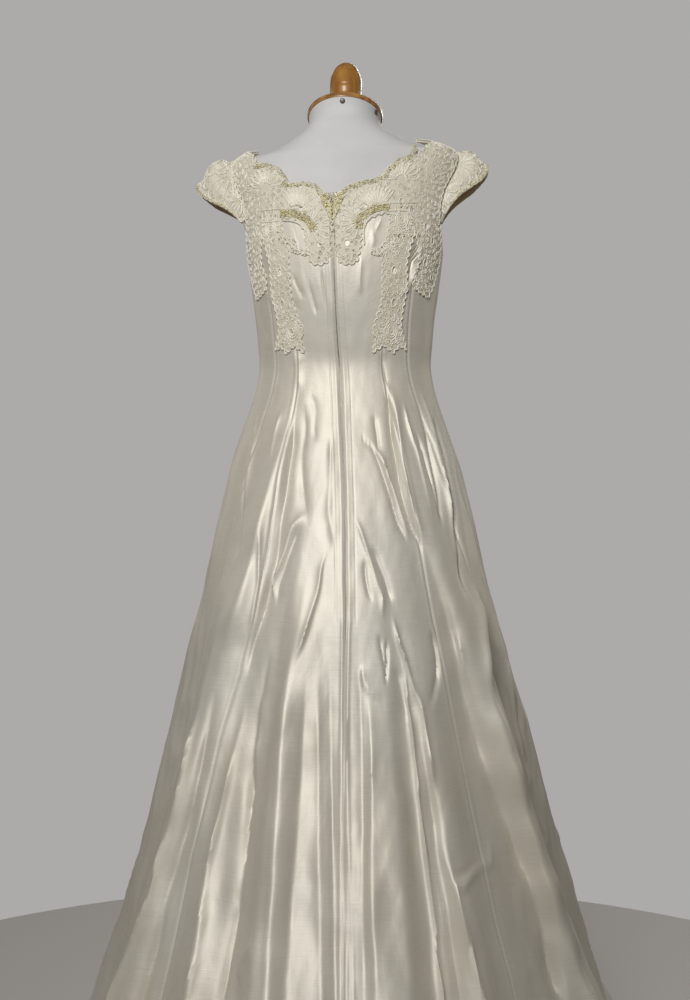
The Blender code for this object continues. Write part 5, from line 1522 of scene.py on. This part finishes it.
def turned(name, profile, steps, place, materials, replaces):
    """A turned solid from (radius, height) points."""
    ring_way = np.array([(math.cos(2 * math.pi * k / steps), math.sin(2 * math.pi * k / steps)) for k in range(steps)])
    blocks = [[(0.0, 0.0, profile[0][1])]]
    for radius, height in profile[1:-1]:
        blocks.append(np.column_stack([ring_way * radius, np.full(steps, height)]))
    blocks.append([(0.0, 0.0, profile[-1][1])])
    points = np.concatenate(blocks)
    faces = []
    rows = len(profile) - 2
    for k in range(steps):
        after = (k + 1) % steps
        faces.append((0, 1 + after, 1 + k))
        for i in range(rows - 1):
            low, high = 1 + i * steps, 1 + (i + 1) * steps
            faces.append((low + k, low + after, high + after, high + k))
        faces.append((1 + (rows - 1) * steps + k, 1 + (rows - 1) * steps + after, len(points) - 1))
    turn = np.array(place)
    points = points @ turn[:3, :3].T + turn[:3, 3]
    piece = new_piece(name, points, faces, materials, sharp=30.0)
    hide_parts(replaces)
    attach(piece, "root")
    return piece


def round_corner(centre, radius, start, end, steps=5):
    return [(centre[0] + radius * math.cos(math.radians(a)), centre[1] + radius * math.sin(math.radians(a)))
            for a in np.linspace(start, end, steps)]


def make_cap_and_finial(wood, knob_wood):
    tilt = Matrix.Rotation(CAP_TILT, 4, "X")
    up = tilt @ Vector((0.0, 0.0, 1.0))
    underside = Vector((0.0, 0.0, NECK_TOP)) + up * SEAM_GAP
    edge = 0.0030
    profile = [(0.0, 0.0), (CAP_RADIUS * 0.5, 0.0)]
    profile += round_corner((CAP_RADIUS - edge, edge), edge, -90, 0)
    profile += round_corner((CAP_RADIUS - edge, CAP_THICK - edge), edge, 0, 90)
    profile += [(CAP_RADIUS * 0.5, CAP_THICK), (0.0, CAP_THICK)]
    turned("neck_cap_wood", profile, 96, Matrix.Translation(underside) @ tilt, [wood], "form_neck_cap")
    foot = underside + up * (CAP_THICK + SEAM_GAP)
    radius, height = 0.0240, 0.0880
    knots = np.array([(0.600, 0.000), (0.66, 0.05), (0.56, 0.13), (0.62, 0.20), (0.84, 0.30), (0.965, 0.40),
                      (1.0, 0.50), (0.995, 0.60), (0.97, 0.70), (0.88, 0.775), (0.85, 0.80), (0.70, 0.89),
                      (0.42, 0.965), (0.0, 1.0)])
    fine = spline(knots, np.linspace(0.0, len(knots) - 1.0, 90))
    for groove, depth, half in ((0.435, 0.045, 0.008), (0.775, 0.055, 0.010), (0.235, 0.035, 0.009),
                                (0.105, 0.030, 0.008)):
        fine[:, 0] -= depth * np.exp(-((fine[:, 1] - groove) / half) ** 2)
    profile = [(0.0, 0.0)] + [(max(r, 0.001) * radius, max(h, 0.0) * height) for r, h in fine[:-1]] + [(0.0, height)]
    turned("finial_wood", profile, 72, Matrix.Translation(foot) @ tilt, [knob_wood], "form_finial")


# Materials
def nodes_of(name):
    made = bpy.data.materials.new(name)
    made.use_nodes = True
    tree = made.node_tree
    return made, tree, tree.nodes["Principled BSDF"]


def texture(tree, kind, scale, source, detail=2.0, stretch=None):
    node = tree.nodes.new(kind)
    node.inputs["Scale"].default_value = scale
    if "Detail" in node.inputs:
        node.inputs["Detail"].default_value = detail
    if stretch:
        mapping = tree.nodes.new("ShaderNodeMapping")
        mapping.inputs["Scale"].default_value = stretch
        tree.links.new(source, mapping.inputs["Vector"])
        tree.links.new(mapping.outputs["Vector"], node.inputs["Vector"])
    else:
        tree.links.new(source, node.inputs["Vector"])
    return node


def colours(tree, factor, stops):
    ramp = tree.nodes.new("ShaderNodeValToRGB")
    for element, (position, colour) in zip(ramp.color_ramp.elements, (stops[0], stops[-1])):
        element.position = position
        element.color = (*colour, 1.0)
    for position, colour in stops[1:-1]:
        element = ramp.color_ramp.elements.new(position)
        element.color = (*colour, 1.0)
    tree.links.new(factor, ramp.inputs["Fac"])
    return ramp.outputs["Color"]


def bump(tree, shader, height, strength, distance, before=None):
    node = tree.nodes.new("ShaderNodeBump")
    node.inputs["Strength"].default_value = strength
    node.inputs["Distance"].default_value = distance
    tree.links.new(height, node.inputs["Height"])
    if before is not None:
        tree.links.new(before.outputs["Normal"], node.inputs["Normal"])
    tree.links.new(node.outputs["Normal"], shader.inputs["Normal"])
    return node


def ranged(tree, value, low, high, shader, socket):
    node = tree.nodes.new("ShaderNodeMapRange")
    node.inputs["To Min"].default_value = low
    node.inputs["To Max"].default_value = high
    tree.links.new(value, node.inputs["Value"])
    tree.links.new(node.outputs["Result"], shader.inputs[socket])


def silk_material(name="silk_shantung"):
    """Ivory silk with slubs across it, a fine weave and a satin sheen."""
    made, tree, shader = nodes_of(name)
    uv = tree.nodes.new("ShaderNodeUVMap")
    uv.uv_map = "metres"
    place = tree.nodes.new("ShaderNodeTexCoord").outputs["Object"]
    slubs = texture(tree, "ShaderNodeTexNoise", 1.0, uv.outputs["UV"], 3.0, (22.0, 760.0, 1.0))
    threads = texture(tree, "ShaderNodeTexNoise", 1.0, uv.outputs["UV"], 2.0, (900.0, 2100.0, 1.0))
    patches = texture(tree, "ShaderNodeTexNoise", 5.0, place, 2.0)
    tone = colours(tree, slubs.outputs["Fac"], ((0.25, (0.730, 0.700, 0.625)), (0.50, (0.770, 0.745, 0.675)),
                                                (0.75, (0.795, 0.775, 0.712))))
    warm = colours(tree, patches.outputs["Fac"], ((0.35, (0.97, 0.95, 0.915)), (0.70, (1.0, 1.0, 1.0))))
    mix = tree.nodes.new("ShaderNodeMix")
    mix.data_type = "RGBA"
    mix.blend_type = "MULTIPLY"
    mix.inputs["Factor"].default_value = 1.0
    tree.links.new(tone, mix.inputs["A"])
    tree.links.new(warm, mix.inputs["B"])
    tree.links.new(mix.outputs["Result"], shader.inputs["Base Color"])
    pressed = texture(tree, "ShaderNodeTexNoise", 1.0, uv.outputs["UV"], 3.0, (55.0, 24.0, 1.0))
    first = bump(tree, shader, pressed.outputs["Fac"], 0.30, 0.0022)
    second = bump(tree, shader, slubs.outputs["Fac"], 0.32, 0.0005, first)
    bump(tree, shader, threads.outputs["Fac"], 0.25, 0.0003, second)
    ranged(tree, slubs.outputs["Fac"], 0.48, 0.57, shader, "Roughness")
    shader.inputs["Metallic"].default_value = 0.32
    shader.inputs["Sheen Weight"].default_value = 0.08
    shader.inputs["Sheen Roughness"].default_value = 0.45
    shader.inputs["Specular IOR Level"].default_value = 0.50
    shader.inputs["Anisotropic"].default_value = 0.25
    return made


def lining_material():
    """Smooth beige lining."""
    made, tree, shader = nodes_of("lining_satin")
    place = tree.nodes.new("ShaderNodeTexCoord").outputs["Object"]
    weave = texture(tree, "ShaderNodeTexNoise", 900.0, place, 2.0)
    patches = texture(tree, "ShaderNodeTexNoise", 9.0, place, 3.0)
    tone = colours(tree, patches.outputs["Fac"], ((0.3, (0.60, 0.45, 0.27)), (0.7, (0.68, 0.53, 0.34))))
    tree.links.new(tone, shader.inputs["Base Color"])
    bump(tree, shader, weave.outputs["Fac"], 0.20, 0.0002)
    ranged(tree, patches.outputs["Fac"], 0.42, 0.52, shader, "Roughness")
    return made


def lace_materials():
    """The net ground and the silk cord on it."""
    made, tree, shader = nodes_of("lace_net")
    uv = tree.nodes.new("ShaderNodeUVMap")
    uv.uv_map = "metres"
    cells = texture(tree, "ShaderNodeTexVoronoi", 620.0, uv.outputs["UV"])
    cells.feature = "DISTANCE_TO_EDGE"
    clumps = texture(tree, "ShaderNodeTexNoise", 260.0, uv.outputs["UV"], 3.0)
    # Pale net threads at the cell edges and darker cell centres: partly the net's open weave, partly painted shade
    # standing in for the golden shade between the cords
    tone = colours(tree, cells.outputs["Distance"], ((0.0, (0.80, 0.765, 0.655)), (0.12, (0.70, 0.66, 0.545)),
                                                     (0.45, (0.56, 0.52, 0.405))))
    tree.links.new(tone, shader.inputs["Base Color"])
    first = bump(tree, shader, cells.outputs["Distance"], 0.9, 0.0008)
    bump(tree, shader, clumps.outputs["Fac"], 0.5, 0.0009, first)
    ranged(tree, clumps.outputs["Fac"], 0.60, 0.80, shader, "Roughness")
    cord, tree, shader = nodes_of("lace_cord")
    place = tree.nodes.new("ShaderNodeTexCoord").outputs["Object"]
    twist = texture(tree, "ShaderNodeTexNoise", 1500.0, place, 2.0)
    patches = texture(tree, "ShaderNodeTexNoise", 70.0, place, 3.0)
    tone = colours(tree, patches.outputs["Fac"], ((0.30, (0.84, 0.80, 0.68)), (0.52, (0.89, 0.86, 0.76)),
                                                  (0.75, (0.92, 0.90, 0.82))))
    tree.links.new(tone, shader.inputs["Base Color"])
    bump(tree, shader, twist.outputs["Fac"], 0.5, 0.0003)
    ranged(tree, twist.outputs["Fac"], 0.42, 0.60, shader, "Roughness")
    shader.inputs["Sheen Weight"].default_value = 0.15
    return [made, cord]


def bead_materials():
    """Pearl, gold-olive and dark sequin."""
    made = []
    for name, low, high, roughness, metallic in (
        ("bead_pearl", (0.74, 0.70, 0.58), (0.88, 0.85, 0.76), 0.22, 0.0),
        ("bead_gold", (0.70, 0.62, 0.33), (0.88, 0.82, 0.53), 0.24, 0.15),
        ("bead_olive", (0.36, 0.33, 0.17), (0.58, 0.54, 0.33), 0.28, 0.10),
    ):
        one, tree, shader = nodes_of(name)
        place = tree.nodes.new("ShaderNodeTexCoord").outputs["Object"]
        noise = texture(tree, "ShaderNodeTexNoise", 380.0, place, 2.0)
        tone = colours(tree, noise.outputs["Fac"], ((0.35, low), (0.65, high)))
        tree.links.new(tone, shader.inputs["Base Color"])
        ranged(tree, noise.outputs["Fac"], roughness, roughness + 0.12, shader, "Roughness")
        shader.inputs["Metallic"].default_value = metallic
        made.append(one)
    return made


def cover_material():
    """Pale grey knitted cover of the form."""
    made, tree, shader = nodes_of("form_jersey")
    place = tree.nodes.new("ShaderNodeTexCoord").outputs["Object"]
    knit = texture(tree, "ShaderNodeTexNoise", 1100.0, place, 2.0, (1.0, 1.0, 0.5))
    patches = texture(tree, "ShaderNodeTexNoise", 14.0, place, 3.0)
    tone = colours(tree, patches.outputs["Fac"], ((0.3, (0.62, 0.62, 0.635)), (0.7, (0.69, 0.69, 0.70))))
    tree.links.new(tone, shader.inputs["Base Color"])
    bump(tree, shader, knit.outputs["Fac"], 0.35, 0.0003)
    ranged(tree, knit.outputs["Fac"], 0.72, 0.88, shader, "Roughness")
    shader.inputs["Sheen Weight"].default_value = 0.25
    return made


def wood_material(name, light, dark, stretch, scale, coat):
    """Honey-varnished wood with its grain along one way."""
    made, tree, shader = nodes_of(name)
    place = tree.nodes.new("ShaderNodeTexCoord").outputs["Object"]
    grain = texture(tree, "ShaderNodeTexNoise", scale, place, 6.0, stretch)
    pores = texture(tree, "ShaderNodeTexNoise", scale * 9.0, place, 2.0, stretch)
    middle = tuple((a + b) / 2 for a, b in zip(light, dark))
    tone = colours(tree, grain.outputs["Fac"], ((0.32, dark), (0.50, middle), (0.66, light)))
    tree.links.new(tone, shader.inputs["Base Color"])
    bump(tree, shader, pores.outputs["Fac"], 0.10, 0.0003)
    ranged(tree, grain.outputs["Fac"], 0.30, 0.42, shader, "Roughness")
    shader.inputs["Coat Weight"].default_value = coat
    shader.inputs["Coat Roughness"].default_value = 0.08
    return made


def steel_material(name="dull_steel", colour=(0.36, 0.36, 0.37), metallic=1.0):
    made, tree, shader = nodes_of(name)
    place = tree.nodes.new("ShaderNodeTexCoord").outputs["Object"]
    noise = texture(tree, "ShaderNodeTexNoise", 240.0, place, 3.0)
    darker = tuple(value * 0.75 for value in colour)
    tone = colours(tree, noise.outputs["Fac"], ((0.35, darker), (0.65, colour)))
    tree.links.new(tone, shader.inputs["Base Color"])
    ranged(tree, noise.outputs["Fac"], 0.32, 0.46, shader, "Roughness")
    bump(tree, shader, noise.outputs["Fac"], 0.05, 0.0002)
    shader.inputs["Metallic"].default_value = metallic
    return made


def tape_material():
    made, tree, shader = nodes_of("zip_tape")
    place = tree.nodes.new("ShaderNodeTexCoord").outputs["Object"]
    weave = texture(tree, "ShaderNodeTexNoise", 1400.0, place, 2.0)
    tone = colours(tree, weave.outputs["Fac"], ((0.3, (0.26, 0.245, 0.20)), (0.7, (0.36, 0.34, 0.285))))
    tree.links.new(tone, shader.inputs["Base Color"])
    bump(tree, shader, weave.outputs["Fac"], 0.3, 0.0003)
    ranged(tree, weave.outputs["Fac"], 0.7, 0.85, shader, "Roughness")
    return made


def set_only(node, made):
    node.data.materials.clear()
    node.data.materials.append(made)


# Scene
def area_light(name, place, target, size, power, colour):
    light = bpy.data.lights.new(name, "AREA")
    light.shape = "DISK"
    light.size = size
    light.energy = power
    light.color = colour
    lamp = bpy.data.objects.new(name, light)
    lamp.location = place
    lamp.rotation_euler = (Vector(target) - Vector(place)).to_track_quat("-Z", "Y").to_euler()
    bpy.context.scene.collection.objects.link(lamp)


def make_floor():
    mesh = bpy.data.meshes.new("floor")
    radius, steps = 1.15, 128
    ring_points = [(radius * math.cos(2 * math.pi * k / steps), radius * math.sin(2 * math.pi * k / steps), 0.0)
                   for k in range(steps)]
    mesh.from_pydata(ring_points, [], [tuple(range(steps))])
    made, tree, shader = nodes_of("pale_floor")
    shader.inputs["Base Color"].default_value = (0.46, 0.445, 0.43, 1.0)
    shader.inputs["Roughness"].default_value = 0.75
    mesh.materials.append(made)
    floor = bpy.data.objects.new("floor", mesh)
    bpy.context.scene.collection.objects.link(floor)


def make_camera_and_light():
    camera = bpy.data.cameras.new("camera")
    camera.lens = 50.4
    camera.sensor_fit = "VERTICAL"
    camera.sensor_height = 36.0
    holder = bpy.data.objects.new("camera", camera)
    holder.location = (-0.1465, 2.0949, 0.895)
    way = Vector((0.0, 0.0, 0.895)) - Vector(holder.location)
    holder.rotation_euler = way.to_track_quat("-Z", "Y").to_euler()
    bpy.context.scene.collection.objects.link(holder)
    bpy.context.scene.camera = holder
    world = bpy.data.worlds.new("studio")
    world.use_nodes = True
    tree = world.node_tree
    backdrop = tree.nodes["Background"]
    backdrop.inputs["Color"].default_value = (0.412, 0.406, 0.400, 1.0)
    backdrop.inputs["Strength"].default_value = 1.0
    ambient = tree.nodes.new("ShaderNodeBackground")
    ambient.inputs["Color"].default_value = (0.52, 0.475, 0.415, 1.0)
    ambient.inputs["Strength"].default_value = 0.20
    seen = tree.nodes.new("ShaderNodeLightPath")
    mix = tree.nodes.new("ShaderNodeMixShader")
    tree.links.new(seen.outputs["Is Camera Ray"], mix.inputs["Fac"])
    tree.links.new(ambient.outputs["Background"], mix.inputs[1])
    tree.links.new(backdrop.outputs["Background"], mix.inputs[2])
    tree.links.new(mix.outputs["Shader"], tree.nodes["World Output"].inputs["Surface"])
    bpy.context.scene.world = world
    area_light("key", (0.25, 1.7, 2.0), (0.0, 0.0, 1.0), 0.75, 25.0, (1.0, 0.985, 0.96))
    area_light("right_side", (-2.1, -1.5, 1.5), (0.0, 0.0, 0.8), 1.2, 6.0, (1.0, 0.95, 0.88))
    area_light("left_side", (2.1, -1.5, 1.6), (0.0, 0.0, 0.8), 1.2, 5.0, (1.0, 0.96, 0.90))
    area_light("front", (-0.3, -1.8, 2.0), (0.0, 0.0, 1.0), 0.9, 18.0, (1.0, 0.985, 0.97))
    bpy.context.scene.view_settings.view_transform = "Standard"


def main():
    silk, lining = silk_material(), lining_material()
    lace, beads = lace_materials(), bead_materials()
    halves = make_panels([silk, lining])
    make_sleeves(halves, [silk, lining], lace, beads)
    make_lace(halves, lace, beads)
    make_zip(halves, tape_material(), steel_material("zip_teeth", (0.30, 0.295, 0.28), 0.4))
    make_form(cover_material())
    cap_wood = wood_material("cap_wood", (0.50, 0.27, 0.085), (0.20, 0.085, 0.025), (1.0, 5.0, 5.0), 26.0, 0.2)
    knob_wood = wood_material("finial_wood", (0.50, 0.25, 0.055), (0.27, 0.105, 0.018), (4.0, 4.0, 0.8), 16.0, 0.25)
    base_wood = wood_material("base_wood", (0.50, 0.28, 0.11), (0.26, 0.13, 0.045), (1.0, 7.0, 7.0), 9.0, 0.5)
    make_cap_and_finial(cap_wood, knob_wood)
    for name, made in (("form_pin_1", steel_material("pin_steel", (0.16, 0.15, 0.14), 0.6)), ("form_pin_2", None),
                       ("stand_pole", steel_material()), ("stand_base", base_wood)):
        made = made or bpy.data.materials["pin_steel"]
        set_only(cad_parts[name], made)
    make_floor()
    make_camera_and_light()


main()
